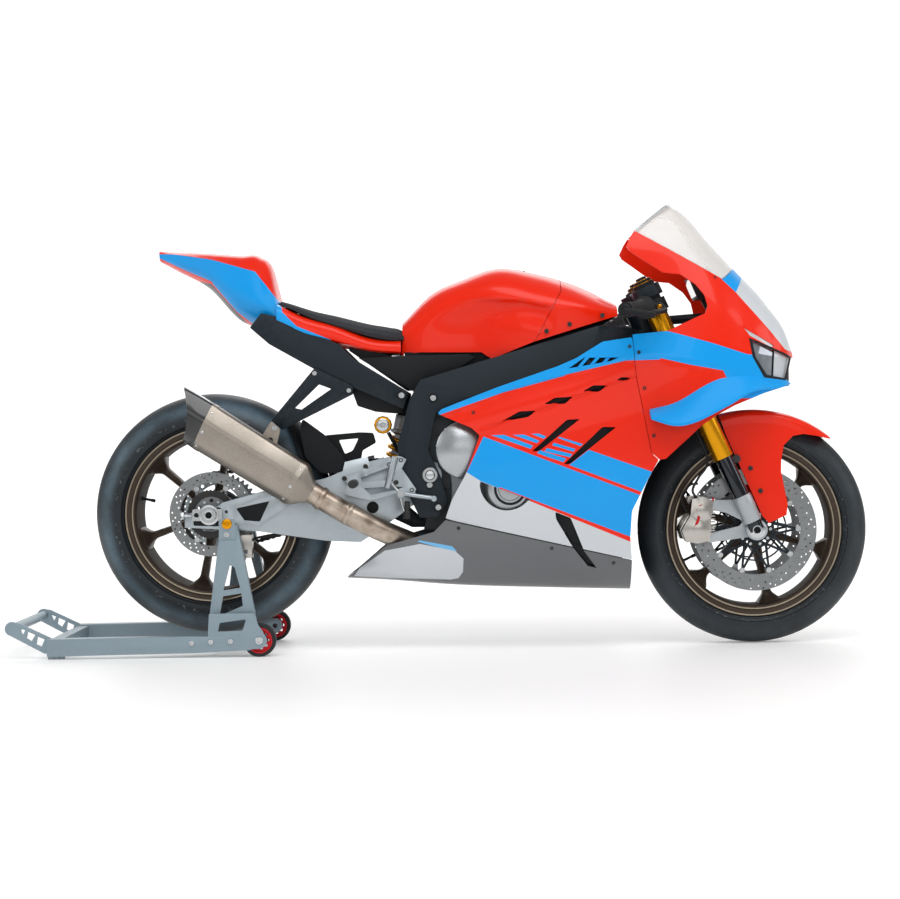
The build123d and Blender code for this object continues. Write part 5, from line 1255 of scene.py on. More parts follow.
def buildDiscs(name, d, node):
    cx, cz = d["centre"]
    plates, arms, pins = [], [], []
    inner = d["radius"] - d["band"]
    turn = fullTurn(240)
    tabs = smoothStep(np.cos(turn * d["bobbins"]), 0.72, 0.9)
    innerEdge = np.column_stack([cx + (inner - 7 * tabs) * np.cos(turn), cz + (inner - 7 * tabs) * np.sin(turn)])
    holes = []
    for row, radius in enumerate(d["rows"]):
        for k in range(d["perRow"]):
            a = 2 * math.pi * (k + row * 0.37) / d["perRow"]
            if (k + row) % 4 == 3:
                continue
            holes.append(arcLoop(cx + radius * math.cos(a), cz + radius * math.sin(a), d["hole"], 8))
    # carrier: a hub ring, and a lattice of slim arms from points on it to the pins
    star = arcLoop(cx, cz, d["carrier"], 90)
    low, high = d["carrier"] - 3, inner - 5
    windows, lattice = [], []
    for k in range(d["bobbins"]):
        a = 2 * math.pi * (k + 0.5) / d["bobbins"]
        windows.append(arcLoop(cx + (d["carrier"] - 10) * math.cos(a), cz + (d["carrier"] - 10) * math.sin(a), 5.0, 12))
        for turnTo in (-0.5, 0.5):
            b = a + turnTo * 2 * math.pi / d["bobbins"]
            start = np.array((cx + low * math.cos(a), cz + low * math.sin(a)))
            end = np.array((cx + high * math.cos(b), cz + high * math.sin(b)))
            run = (end - start) / np.hypot(*(end - start))
            side = np.array((-run[1], run[0])) * 2.7
            lattice.append(np.array([start - side * 1.3, end - side, end + run * 4, end + side, start + side * 1.3]))
    for plane in d["planes"]:
        half = d["thick"] / 2
        plates.append(platePart([arcLoop(cx, cz, d["radius"], 180), innerEdge] + holes, plane - half, plane + half, 0.5))
        arms.append(platePart([star, arcLoop(cx, cz, d["bore"], 40)] + windows, plane - half + 0.4, plane + half - 0.4, 0.5))
        arms += [platePart([loop], plane - half + 0.7, plane + half - 0.7, 0.4) for loop in lattice]
        if d["bobbins"] > 6:
            arms.append(platePart([arcLoop(cx, cz, 83, 72), arcLoop(cx, cz, 79, 72)], plane - half + 1, plane + half - 1, 0.3))
        side = -1 if plane < 0 else 1
        start, end = side * d["hubHalf"], plane - side * (half - 0.5)
        arms.append(latheRing([(start, d["bore"]), (start, 29.0), (end, 29.0), (end, d["bore"])], (cx, cz), 48))
        for k in range(d["bobbins"]):
            a = 2 * math.pi * k / d["bobbins"]
            spot = np.array((cx + (inner - 6) * math.cos(a), plane, cz + (inner - 6) * math.sin(a)))
            for way in (-1, 1):
                pins.append(turnedPart([(0, 7.2), (half + 1.0, 7.2), (half + 1.8, 6.4), (half + 1.8, 3.6), (half + 0.4, 3.2)],
                                       spot, (0, way, 0), 20))
        pins.append(screws([(cx + (d["carrier"] - 10) * math.cos(a), plane + side * half * 0.6,
                             cz + (d["carrier"] - 10) * math.sin(a))
                            for a in 2 * math.pi * np.arange(d["bobbins"]) / d["bobbins"]], (0, side, 0), 4.2, 2.6))
    newPiece(f"{name}DiscBands", plates, discSteel, node, [node], angle=40)
    newPiece(f"{name}DiscCarriers", arms, satinBlack if name == "front" else castAlloy, node, angle=40)
    newPiece(f"{name}DiscPins", pins, brightSteel, node, angle=40)


def buildSensorRing():
    # toothed ring inside the rear disc
    turn = fullTurn(160)
    edge = 62 + 2.4 * (np.cos(turn * 40) > 0)
    outer = np.column_stack([rearX + edge * np.cos(turn), rearZ + edge * np.sin(turn)])
    newPiece("rearSensorRing", [platePart([outer, arcLoop(rearX, rearZ, 46, 64)], -91.5, -88.4, 0.3)], darkSteel, "rear_disc")


driveline = {
    "pitch": 15.875, "rear": 105.0, "front": 38.0, "plateHalf": 6.3, "plane": bike["chainPlane"],
    "rollers": ((5.0, 4.2), (2.6, 8.8)),  # radius and half length of the roller and of the pin
    "teeth": 41, "toothRing": 99, "lightRing": 84, "slotRings": (58, 74), "nutRing": 66,
    "frontTeeth": 15, "frontToothRing": 33.5, "half": 2.7,
}


def chainPath():
    # pitch line of the chain: outer tangents and arcs round both sprockets, as even steps of one pitch
    a = np.array((rearX, rearZ))
    b = np.array(bike["driveSprocket"])
    span = np.hypot(*(b - a))
    slope = math.atan2(*(b - a)[::-1])
    spread = math.acos((driveline["rear"] - driveline["front"]) / span)
    top, low = slope + spread, slope - spread
    arcFront = np.linspace(top, low, 40)
    arcRear = np.linspace(low, top - 2 * math.pi, 80)
    line = np.vstack([b + driveline["front"] * np.column_stack([np.cos(arcFront), np.sin(arcFront)]),
                      a + driveline["rear"] * np.column_stack([np.cos(arcRear), np.sin(arcRear)])])
    line = np.vstack([line, line[:1]])
    along = np.concatenate([[0], np.cumsum(np.hypot(*np.diff(line, axis=0).T))])
    count = int(round(along[-1] / driveline["pitch"] / 2)) * 2
    s = np.linspace(0, along[-1], count, endpoint=False)
    return np.column_stack([np.interp(s, along, line[:, 0]), np.interp(s, along, line[:, 1])])


def buildChain():
    pins = chainPath()
    following = np.roll(pins, -1, 0)
    turn = fullTurn(12)
    parts = []
    for index, (p, q) in enumerate(zip(pins, following)):
        run = (q - p) / np.hypot(*(q - p))
        cross = np.array((-run[1], run[0]))
        length = np.hypot(*(q - p))
        half = driveline["plateHalf"] - (0.5 if index % 2 else 0)
        ends = [np.array((math.cos(t) * half + (length if math.cos(t) > 1e-6 else 0),
                          math.sin(t) * half)) for t in turn + math.pi / 12]
        waist = [np.array((length / 2, half * 0.62)), np.array((length / 2, -half * 0.62))]
        order = ends[:3] + [waist[0]] + ends[3:9] + [waist[1]] + ends[9:]
        flat = np.array([p + run * e[0] + cross * e[1] for e in order])
        offset = 8.4 if index % 2 == 0 else 6.2
        for side in (-1, 1):
            ys = driveline["plane"] + side * np.array((offset - 1.9, offset))
            ring = np.zeros((2, len(flat), 3))
            ring[..., 0], ring[..., 2] = flat[:, 0], flat[:, 1]
            ring[..., 1] = ys[:, None]
            parts.append(gridPart(ring, closeCols=True, caps=True))
        for radius, reach in driveline["rollers"]:
            parts.append(rodPart((p[0], driveline["plane"] - reach, p[1]), (p[0], driveline["plane"] + reach, p[1]), radius,
                                 10, 0.4))
    newPiece("driveChain", parts, darkSteel, "chain", ["chain"], angle=40)


def toothedLoop(cx, cz, pitchRadius, teeth, low, high):
    turn = fullTurn(teeth * 8)
    wave = 0.5 + 0.5 * np.cos(turn * teeth)
    radius = pitchRadius + low + (high - low) * smoothStep(wave, 0.15, 0.85)
    return np.column_stack([cx + radius * np.cos(turn), cz + radius * np.sin(turn)])


def buildSprockets():
    plane, half = driveline["plane"], driveline["half"]
    low, high, hole, nut = driveline["slotRings"][0], driveline["slotRings"][1], driveline["lightRing"], driveline["nutRing"]
    outer = toothedLoop(rearX, rearZ, driveline["toothRing"], driveline["teeth"], -3.2, 5.0)
    holes = [arcLoop(rearX + hole * math.cos(a), rearZ + hole * math.sin(a), 4.6, 14) for a in np.arange(20) * math.pi / 10]
    slots = []
    for k in range(6):
        a = np.radians(60 * k + np.linspace(-17, 17, 9))
        inner = np.column_stack([rearX + low * np.cos(a), rearZ + low * np.sin(a)])
        rim = np.column_stack([rearX + high * np.cos(a[::-1]), rearZ + high * np.sin(a[::-1])])
        slots.append(roundLoop(np.vstack([inner, rim]), 3, 2))
    ring = platePart([outer, arcLoop(rearX, rearZ, 12.6, 48)] + holes + slots, plane - half, plane + half, 0.6)
    carrier = latheRing([(62, 12.6), (62, 34), (70, 44), (96, 46), (100.4, 52), (100.4, 12.6)], (rearX, rearZ), 72)
    spots = [(rearX + nut * math.cos(a), plane + 2.6, rearZ + nut * math.sin(a)) for a in np.radians(30 + 60 * np.arange(6))]
    nuts = screws(spots, (0, 1, 0), 6.5, 5)
    newPiece("rearSprocket", [ring, carrier], brushedAlloy, "rear_sprocket", ["rear_sprocket"], angle=40)
    newPiece("sprocketNuts", [nuts], darkSteel, "rear_sprocket", angle=40)
    dx, dz = bike["driveSprocket"]
    front = platePart([toothedLoop(dx, dz, driveline["frontToothRing"], driveline["frontTeeth"], -3, 4),
                       arcLoop(dx, dz, 9, 20)], plane - half, plane + half, 0.5)
    newPiece("driveSprocket", [front, rodPart((dx, plane - 14, dz), (dx, plane + 6, dz), 13, 24)], darkSteel,
             "drive_sprocket", ["drive_sprocket"], angle=40)


for wheelName, wheelTable in wheels.items():
    buildTyre(wheelName, wheelTable)
    buildRim(wheelName, wheelTable)
buildDiscs("front", discs["front"], "front_discs")
buildDiscs("rear", discs["rear"], "rear_disc")
buildSensorRing()
buildChain()
buildSprockets()
print("stage: wheels and drive")


def boxPart(low, high):
    (x0, y0, z0), (x1, y1, z1) = low, high
    ring = [(y0, z0), (y1, z0), (y1, z1), (y0, z1)]
    return gridPart(np.array([[(x, y, z) for y, z in ring] for x in (x0, x1)], float), closeCols=True, caps=True)


def sidePart(profile, x, z, side, start, count=48):
    # profile of (outward, radius) turned about a line along Y that starts at |y| = start
    return turnedPart(profile, (x, side * start, z), (0, side, 0), count)


def legAlong(x, z):
    # distance up the fork line of points seen from the side
    return (frontX - x) * math.sin(bike["rake"]) + (z - frontZ) * math.cos(bike["rake"])


fork = {"axleFace": 111.6, "lineRadius": 3.2, "footTop": 77.0, "blackAbove": 622.0}


def buildFork():
    lowers = refineNode("fork_lowers", sliderChrome, 0.8)
    tinted(lowers, [sliderChrome, castPale], lambda x, y, z: legAlong(x, z) < fork["footTop"])
    calipers = refineNode("front_calipers", nickel, 2.0, loose=True)
    tinted(calipers, [nickel, castPale], lambda x, y, z: (x - frontX > -113) & (np.abs(y) < 97))
    collars, plugs, bolts, rings, fins, inlays, lines, clamps = [], [], [], [], [], [], [], []
    for side in (-1, 1):
        ring = [(0, 12.6), (0, 21), (1, 22), (3.4, 22), (4.2, 21), (4.2, 10.5), (3, 9.6), (3, 12.6)]
        collars.append(turnedRing(ring, (frontX, side * fork["axleFace"], frontZ), (0, side, 0), 56))
        plugs.append(sidePart([(0, 8.8), (3, 8.8)], frontX, frontZ, side, 104, 24))
        bolts.append(screws([forkPoint(54, side * 111.5, back) for back in (-15, 15)], (0, side, 0), 5.0, 3.0))
        for x0, x1, z in ((-158, -104, 78), (-176, -128, -24)):
            bolts.append(rodPart((frontX + x0, side * 89, frontZ + z), (frontX + x1, side * 89, frontZ + z), 5.2, 20))
            bolts.append(screwPart((frontX + x0, side * 89, frontZ + z), (-1, 0, 0), 7.0, 5.0))
            rings.append(turnedPart([(0, 6.5), (0.6, 7.6), (4.4, 7.6), (5, 6.5)], (frontX + x1 - 9, side * 89, frontZ + z),
                                    (1, 0, 0), 24))
        for k in range(9):
            z = frontZ + 50 - 7.5 * k
            fins.append(boxPart((frontX - 121, side * 90 - 7, z), (frontX - 106, side * 90 + 7, z + 3.2)))
        inlay = np.array([(-147, 66), (-140, 68), (-146, 30), (-156, 4), (-163, 5), (-153, 32)], float) + (frontX, frontZ)
        low, high = sorted((side * 101.6, side * 103.4))
        inlays.append(platePart([inlay], low, high, 0.5))
        route = [(frontX - 150, side * 92, frontZ + 80), (frontX - 163, side * 94, frontZ + 104),
                 (frontX - 148, side * 97, frontZ + 136),
                 forkPoint(215, side * 100, 40), forkPoint(300, side * 100, 34), forkPoint(390, side * 98, 33),
                 forkPoint(458, side * 92, 36)]
        lines.append(tubePart(route, fork["lineRadius"], 12, 8))
        lines.append(turnedPart([(0, 5.2), (9, 5.2), (10, 4.2), (16, 4.2)], route[0] - np.array((0, 0, 6)), (-0.4, 0, 1), 16))
        route = [(frontX - 176, side * 80, frontZ + 44), (frontX - 190, side * 74, frontZ + 84),
                 (frontX - 168, side * 70, frontZ + 116), (frontX - 146, side * 62, frontZ + 120)]
        lines.append(tubePart(route, 2.6, 10, 8))
        sleeve = [(24, 21), (24, 23), (26, 24), (58, 24), (60, 25), (90, 25), (96, 23.4), (96, 21)]
        clamps.append(turnedPart(sleeve, forkPoint(0, side * 105), forkPoint(1, 0) - forkPoint(0, 0), 48))
    newPiece("forkClamps", clamps, castPale, "fork_lowers", angle=34)
    newPiece("frontAxleCollars", collars, brightSteel, "front_axle", angle=40)
    newPiece("frontAxlePlugs", plugs, mattBlack, "front_axle")
    newPiece("caliperBolts", bolts, brightSteel, "front_calipers", angle=40)
    newPiece("caliperRings", rings + inlays, rollerRed, "front_calipers", angle=40)
    newPiece("padFins", fins, nickel, "front_calipers", bevel=0.4)
    newPiece("brakeLineFront", lines, rubberBlack, "front_calipers", angle=50)


engineCovers = {  # side, x, z, start, then (outward, radius) rows; bolts: count, ring, height
    "clutch": (-1, 82, 519, 112.3, [(0, 72), (38, 72), (40, 74), (46, 74), (47.5, 73), (49, 71), (62, 44), (67, 30), (70, 16),
                                    (71, 5)], 9, 71.2, 45.5),
    "magneto": (-1, 196, 417, 112.3,
                [(0, 62), (52, 62), (54, 64), (60, 64), (62, 62.5), (68, 60), (74, 54), (76, 48), (77.5, 46), (77.5, 30),
                 (75, 28), (75, 12), (76.5, 11), (76.5, 4)], 0, 0, 0),
    "gearSide": (1, 120, 470, 112.3,
                 [(0, 64), (40, 64), (42, 66), (48, 66), (49.5, 64.5), (52, 56), (58, 50), (59.5, 44), (57, 38), (57, 10),
                  (59.5, 9), (59.5, 3)], 8, 61, 49.5),
    "crankSide": (1, 235, 415, 112.3,
                  [(0, 72), (52, 72), (54, 74), (60, 74), (61.5, 72.5), (64, 66), (71, 58), (73.6, 50), (73.6, 22), (70, 20),
                   (70, 5)],
                  9, 69.5, 61.5),
}


def buildEngineCovers():
    covers, bolts = [], []
    for side, x, z, start, rows, count, ring, height in engineCovers.values():
        covers.append(sidePart(rows, x, z, side, start, 96))
        for k in range(count):
            a = 2 * math.pi * (k + 0.3) / count
            bolts.append(screwPart((x + ring * math.cos(a), side * (start + height), z + ring * math.sin(a)), (0, side, 0),
                                   3.6, 3.4))
    newPiece("engineCoverForms", covers, coverSilver, "engine_covers", ["engine_covers"], angle=28)
    newPiece("engineCoverBolts", bolts, brightSteel, "engine_covers", angle=40)
    # a dark sight ring on the lower right cover
    newPiece("sightRing", [turnedRing([(0, 34), (0, 41), (1.6, 40.4), (1.6, 34.6)], (196, -189.4, 417), (0, -1, 0), 64)],
             mattBlack, "engine_covers")


rearset = {
    "screws": [(-112, 484), (-95, 438), (-55, 418), (-82, 495), (-173, 480), (-228, 450)],
    "peg": (-202, 437),
}


def buildRearsets():
    plates = refineNode("footrests", brushedAlloy, 1.4, loose=True)
    px, pz = rearset["peg"]
    tinted(plates, [brushedAlloy, darkSteel], lambda x, y, z: (np.hypot(x - px, z - pz) < 11.5) & (np.abs(y) > 161))
    parts, caps, rods = [], [], []
    for side in (-1, 1):
        parts.append(screws([(x, side * 158.8, z) for x, z in rearset["screws"]], (0, side, 0), 6.2, 4.2))
        # knurled peg: grooves along its length
        along = np.arange(0, 80, 4.0)
        grooves = [(a + d, r) for a in along for d, r in ((1, 10.9), (3, 10.9), (3.6, 10.2))]
        rows = [(0, 9.9)] + grooves + [(83.5, 10.9), (84.5, 9.6), (84.5, 6), (76, 5.6)]
        caps.append(sidePart(rows, px, pz, side, 163.2, 32))
        rods.append(tubePart([(-83, side * 171, 409), (-100, side * 168, 428), (-110, side * 168, 446)], 3.0, 10, 4))
        rods.append(rodPart((-84, side * 168, 398), (-70, side * 168, 344), 3.2, 14))
        rods.append(sidePart([(0, 8), (1, 9), (6, 9), (7, 8)], -83, 409, side, 170, 28))
    caps.append(turnedPart([(0, 9), (2, 10.5), (18, 10.5), (20, 9), (20, 7), (44, 7), (46, 5)], (-68, -168, 344),
                           (0.02, 0, 1), 28))
    newPiece("rearsetScrews", parts, darkSteel, "footrests", angle=40)
    newPiece("footPegs", caps, darkSteel, "footrests", angle=30)
    newPiece("footLevers", rods, brightSteel, "footrests", angle=40)


frameTrim = {
    "screws": [(3, 653), (-78, 661), (12, 372)],
    "pivotRing": [(0, 11.2), (0, 19), (1.5, 20), (6, 20), (7.5, 18.5), (7.5, 13), (6, 12), (4, 11.2)],
}


def buildFrameTrim():
    screwsOut, rings, cups = [], [], []
    for side in (-1, 1):
        for x, z in frameTrim["screws"]:
            screwsOut.append(screwPart((x, side * 149.6, z), (0, side, 0), 7.6, 4.2))
            cups.append(turnedRing([(0, 8.4), (0, 12.8), (1.4, 12), (1.4, 9)], (x, side * 149.6, z), (0, side, 0), 32))
        rings.append(turnedRing(frameTrim["pivotRing"], (-8, side * 150, 455), (0, side, 0), 48))
        rings.append(sidePart([(0, 7), (1, 8), (5, 8), (6, 7)], -9, 430, side, 150, 32))
        cups.append(sidePart([(0, 14), (1, 15), (7, 15), (8, 14), (8, 11), (5, 10)], -158, 373, side, 117.5, 40))
    newPiece("frameScrews", screwsOut, brightSteel, "main_frame", angle=40)
    newPiece("frameCups", cups, mattBlack, "main_frame", angle=40)
    newPiece("pivotNuts", rings, brightSteel, "main_frame", angle=40)


exhaust = {
    "route": [(-318, -183, 420), (-240, -178, 372), (-170, -171, 333), (-110, -132, 302), (-60, -92, 278), (0, -52, 246),
              (60, -26, 222), (180, -6, 213), (330, 0, 212)],
    "radius": 28.0, "headers": [(330, 0, 212), (372, 0.35, 300), (412, 0.7, 380), (432, 0.95, 480), (434, 1.0, 560),
                                (418, 1.0, 610), (392, 1.0, 640)],
    "start": (-345, -190, 434), "rise": 32.0,
    "section": [(0, 0.5), (0.30, 0.5), (0.5, 0.12), (0.42, -0.34), (0.2, -0.5)],
}


def mufflerRing(along, width, height, rounding=9.0, lean=0.0, lift=0.0, bow=0.0):
    # six-sided rounded ring across the silencer's line; lean shifts its top rearwards, bow its top and bottom, lift raises it
    half = np.array(exhaust["section"]) * (width, height)
    loop = np.vstack([half, half[:0:-1] * (-1, 1)])
    loop = roundLoop(loop, rounding, 5)
    rise = math.radians(exhaust["rise"])
    axis, up = np.array((-math.cos(rise), 0, math.sin(rise))), np.array((math.sin(rise), 0, math.cos(rise)))
    t = along + lean * loop[:, 1:2] / height + bow * (2 * loop[:, 1:2] / height) ** 2
    return np.array(exhaust["start"]) + t * axis + loop[:, :1] * (0, 1.0, 0) + (loop[:, 1:2] + lift) * up


def buildExhaust():
    pipes = [tubePart(exhaust["route"], exhaust["radius"], 40, 10)]
    for y in (-80, 0, 80):
        pipes.append(tubePart([(x, share * y, z) for x, share, z in exhaust["headers"]], 18.5, 24, 8))
    path = curveThrough(exhaust["route"], 10)
    for index, wide in ((4, 31.0), (13, 29.6)):
        direction = path[index + 1] - path[index - 1]
        pipes.append(turnedPart([(-7, 28), (-6.4, wide - 0.6), (-5.4, wide), (5.4, wide), (6.4, wide - 0.6), (7, 28)],
                                path[index], direction, 48))
    newPiece("exhaustRuns", pipes, pipeSteel, "exhaust_pipe", ["exhaust_pipe"], angle=50)
    can = np.array([mufflerRing(*row) for row in [(-39, 60, 58, 14), (-32, 66, 63, 14), (-8, 98, 104, 12, 0, 1),
                                                  (-2, 104, 111, 11, 0, 2), (1, 107, 114, 10, 0, 2.4),
                                                  (4, 108, 115, 10, 0, 2.5),
                                                  (100, 109, 118, 10, 2, 4), (200, 109.5, 121, 10, 6, 5.4),
                                                  (286, 110, 124, 10, 13, 6.6)]])
    newPiece("silencerCan", [gridPart(can, closeCols=True, caps=True)], titanium, "muffler", ["muffler"], angle=34)
    bands, rivets = [], []
    rise = math.radians(exhaust["rise"])
    axis, up = np.array((-math.cos(rise), 0, math.sin(rise))), np.array((math.sin(rise), 0, math.cos(rise)))
    for low, high, tall, lean, lift in ((5, 19, 115, 0, 2.6), (268, 282, 123.6, 12, 6.4)):
        rows = np.array([mufflerRing(t, 107 + 4 * step, tall - 1.2 + 3.4 * step, 10, lean, lift)
                         for t, step in ((low, 0), (low, 1), (high, 1), (high, 0))])
        bands.append(gridPart(rows, closeRows=True, closeCols=True))
        middle = (low + high) / 2
        for across, high2 in ((0.385, 0.34), (0.462, -0.10), (0.335, -0.40)):
            for side in (-1, 1):
                spot = np.array(exhaust["start"]) + (middle + lean * high2) * axis + (0, side * across * 110, 0)
                spot = spot + (high2 * tall + lift) * up
                out = np.array((0, side, 0)) + up * (0.9 if high2 > 0.2 else (-0.15 if high2 > -0.2 else -1.0)) * 0.6
                rivets.append(turnedPart([(-2, 3.6), (0.8, 3.6), (1.6, 2.8), (2.0, 1.4)], spot, out, 18))
    bracket = platePart([roundLoop([(-446, 548), (-402, 520), (-388, 580), (-412, 600)], 6, 4), arcLoop(-404, 582, 5, 20),
                         arcLoop(-414, 552, 6, 20)], -178, -172, 1.0)
    newPiece("silencerBands", bands + [bracket], titanium, "muffler", angle=34)
    newPiece("silencerRivets", rivets, brightSteel, "muffler", angle=40)
    capRows = [(283, 110.6, 125, 10, 13, 6.6), (285, 110.6, 125, 10, 13, 6.6), (302, 107, 124, 10, 30, 7, 6),
               (320, 103, 122, 11, 56, 7, 13), (326, 101, 121, 11, 66, 7, 16),
               (326, 96, 116, 12, 66, 7, 16), (318, 84, 100, 16, 50, 7, 10), (300, 74, 84, 20, 20, 6, 3),
               (270, 72, 80, 22, 0, 5)]
    cap = np.array([mufflerRing(*row) for row in capRows])
    newPiece("silencerCap", [gridPart(cap, closeCols=True, caps=True)], carbon, "muffler_cap", ["muffler_cap"], angle=34)
    newPiece("silencerBore", [turnedPart([(0, 30), (18, 30), (18, 27), (2, 26)], np.array(exhaust["start"]) + 282 * axis,
                                         axis, 40)], darkSteel, "muffler_cap", angle=40)
    bolt = screws([(-404, -178, 582)], (0, -1, 0), 7, 4)
    newPiece("hangerBolts", [bolt, screws([(-303, -124, 722), (-215, -124, 676)], (0, -1, 0), 6, 4)], brightSteel,
             "exhaust_hanger", angle=40)


shock = {"low": (-114, 0, 400), "high": (-66, 0, 622), "springLow": 26.0, "springHigh": 168.0, "turns": 6.5, "coil": 32.0,
         "wire": 5.2}


def buildShock():
    # coil: a circle of wire carried up a helix with flat ends
    low, high = np.array(shock["low"], float), np.array(shock["high"], float)
    axis = (high - low) / np.linalg.norm(high - low)
    t = np.linspace(0, 1, 200)
    turn = t * shock["turns"] * 2 * math.pi
    height = shock["springLow"] + (shock["springHigh"] - shock["springLow"]) * (t + 0.02 * np.sin(2 * math.pi * t))
    side, ahead = np.array((0, 1.0, 0)), np.cross((0, 1.0, 0), axis)
    line = low + height[:, None] * axis + shock["coil"] * (np.cos(turn)[:, None] * side + np.sin(turn)[:, None] * ahead)
    coil = gridPart(sweepGrid(line, circle(shock["wire"], 12)), closeCols=True, caps=True)
    newPiece("shockSpring", [coil], goldAnodised, "rear_shock", angle=60)
    body = turnedPart([(-8, 10), (-8, 18), (6, 20), (18, 34), (22, 37), (25, 37), (26, 20), (90, 20), (91, 24), (160, 24),
                       (166, 37), (172, 37), (174, 31), (212, 31), (216, 24), (226, 16)], low, axis, 48)
    newPiece("shockBody", [body], castAlloy, "rear_shock", ["rear_shock"], angle=35)
    canister = turnedPart([(0, 18), (2, 22), (38, 22), (40, 23.4), (48, 23.4), (50, 21), (50.5, 14), (53, 13), (54, 11),
                           (54, 4)], (-130, -44, 586), (0, -1, 0), 12)
    newPiece("shockCanister", [canister], goldAnodised, "rear_shock", angle=30)
    newPiece("shockCap", [turnedPart([(0, 15), (1, 16.4), (3, 16.4), (4.4, 14), (4.4, 6), (3.4, 5)], (-130, -96, 586),
                                     (0, -1, 0), 40)], brightSteel, "rear_shock", angle=40)
    newPiece("shockHose", [tubePart([(-118, -56, 566), (-104, -52, 540), (-96, -30, 520), (-92, -14, 512)], 5, 12, 6)],
             rubberBlack, "rear_shock", angle=50)


rearTrim = {"axleNut": [(0, 12.7), (0, 25), (1, 26), (3, 26), (3.6, 20), (9.5, 20), (11, 18.6), (11, 9.4), (9, 8.8), (9, 12.7)],
            "window": [(-511, 376), (-422, 394), (-443, 343), (-491, 342)],
            "notch": [(-622, 333), (-622, 368), (-556, 380), (-549, 376), (-551, 330)]}


def buildRearTrim():
    nuts, plates, screwsOut = [], [], []
    window = np.array(rearTrim["window"], float)
    for side, face, deep in ((-1, 130.0, 126.5), (1, 137.0, 137.0)):
        nuts.append(turnedRing(rearTrim["axleNut"], (rearX, side * (face + 3.2), rearZ), (0, side, 0), 56))
        low, high = sorted((side * (face + 0.2), side * (face + 3.4)))
        block = roundLoop([(rearX - 44, rearZ - 15), (rearX - 44, rearZ + 15), (rearX + 34, rearZ + 15),
                           (rearX + 34, rearZ - 15)], 4, 3)
        nuts.append(platePart([block, arcLoop(rearX, rearZ, 13, 40), arcLoop(rearX - 33, rearZ, 6, 20)], low, high, 0.8))
        nuts.append(rodPart((rearX - 70, side * (face - 8), rearZ - 2), (rearX - 46, side * (face - 8), rearZ - 2), 5, 16))
        nuts.append(turnedPart([(0, 9), (1, 10), (6, 10), (7, 9)], (rearX - 66, side * (face - 8), rearZ - 2), (-1, 0, 0), 6))
        screwsOut.append(screws([(rearX + 12, side * (face - 0.5), rearZ - 26), (rearX + 44, side * (face - 0.5), rearZ + 8)],
                                (0, side, 0), 4, 3))
        low, high = sorted((side * deep, side * (deep + 1.4)))
        plates.append(platePart([roundLoop(window, 5, 3)], low, high, 0.4))
        plates.append(sidePlate([roundLoop(rearTrim["notch"], 4, 3)], side, face - 2, face + 0.12, 0.0))
    newPiece("axleBlocks", nuts, brightSteel, "swingarm", angle=38)
    newPiece("swingarmPanels", plates, mattBlack, "swingarm")
    newPiece("swingarmScrews", screwsOut, darkSteel, "swingarm", angle=40)
    line = tubePart([(-476, -92, 292), (-450, -96, 300), (-400, -98, 306), (-330, -98, 296), (-250, -97, 290)], 3.2, 12, 8)
    newPiece("brakeLineRear", [line], rubberBlack, "rear_caliper", angle=50)
    bolts = screws([(-540, -104, 296), (-490, -104, 262), (-508, -104, 300)], (0, -1, 0), 6, 4)
    newPiece("rearCaliperBolts", [bolts], brightSteel, "rear_caliper", angle=40)


stand = {
    "armBolts": [(-620, 38), (-571, 40), (-521, 41)], "cradleBolts": [(-528, 339), (-529, 312)], "roller": (-448, 42),
    "cheek": [(-580, 30), (-575, 112), (-459, 112), (-450, 82), (-438, 66), (-433, 48), (-436, 30), (-448, 21)],
    "window": [(-548, 88), (-480, 98), (-490, 68), (-553, 66)],
}


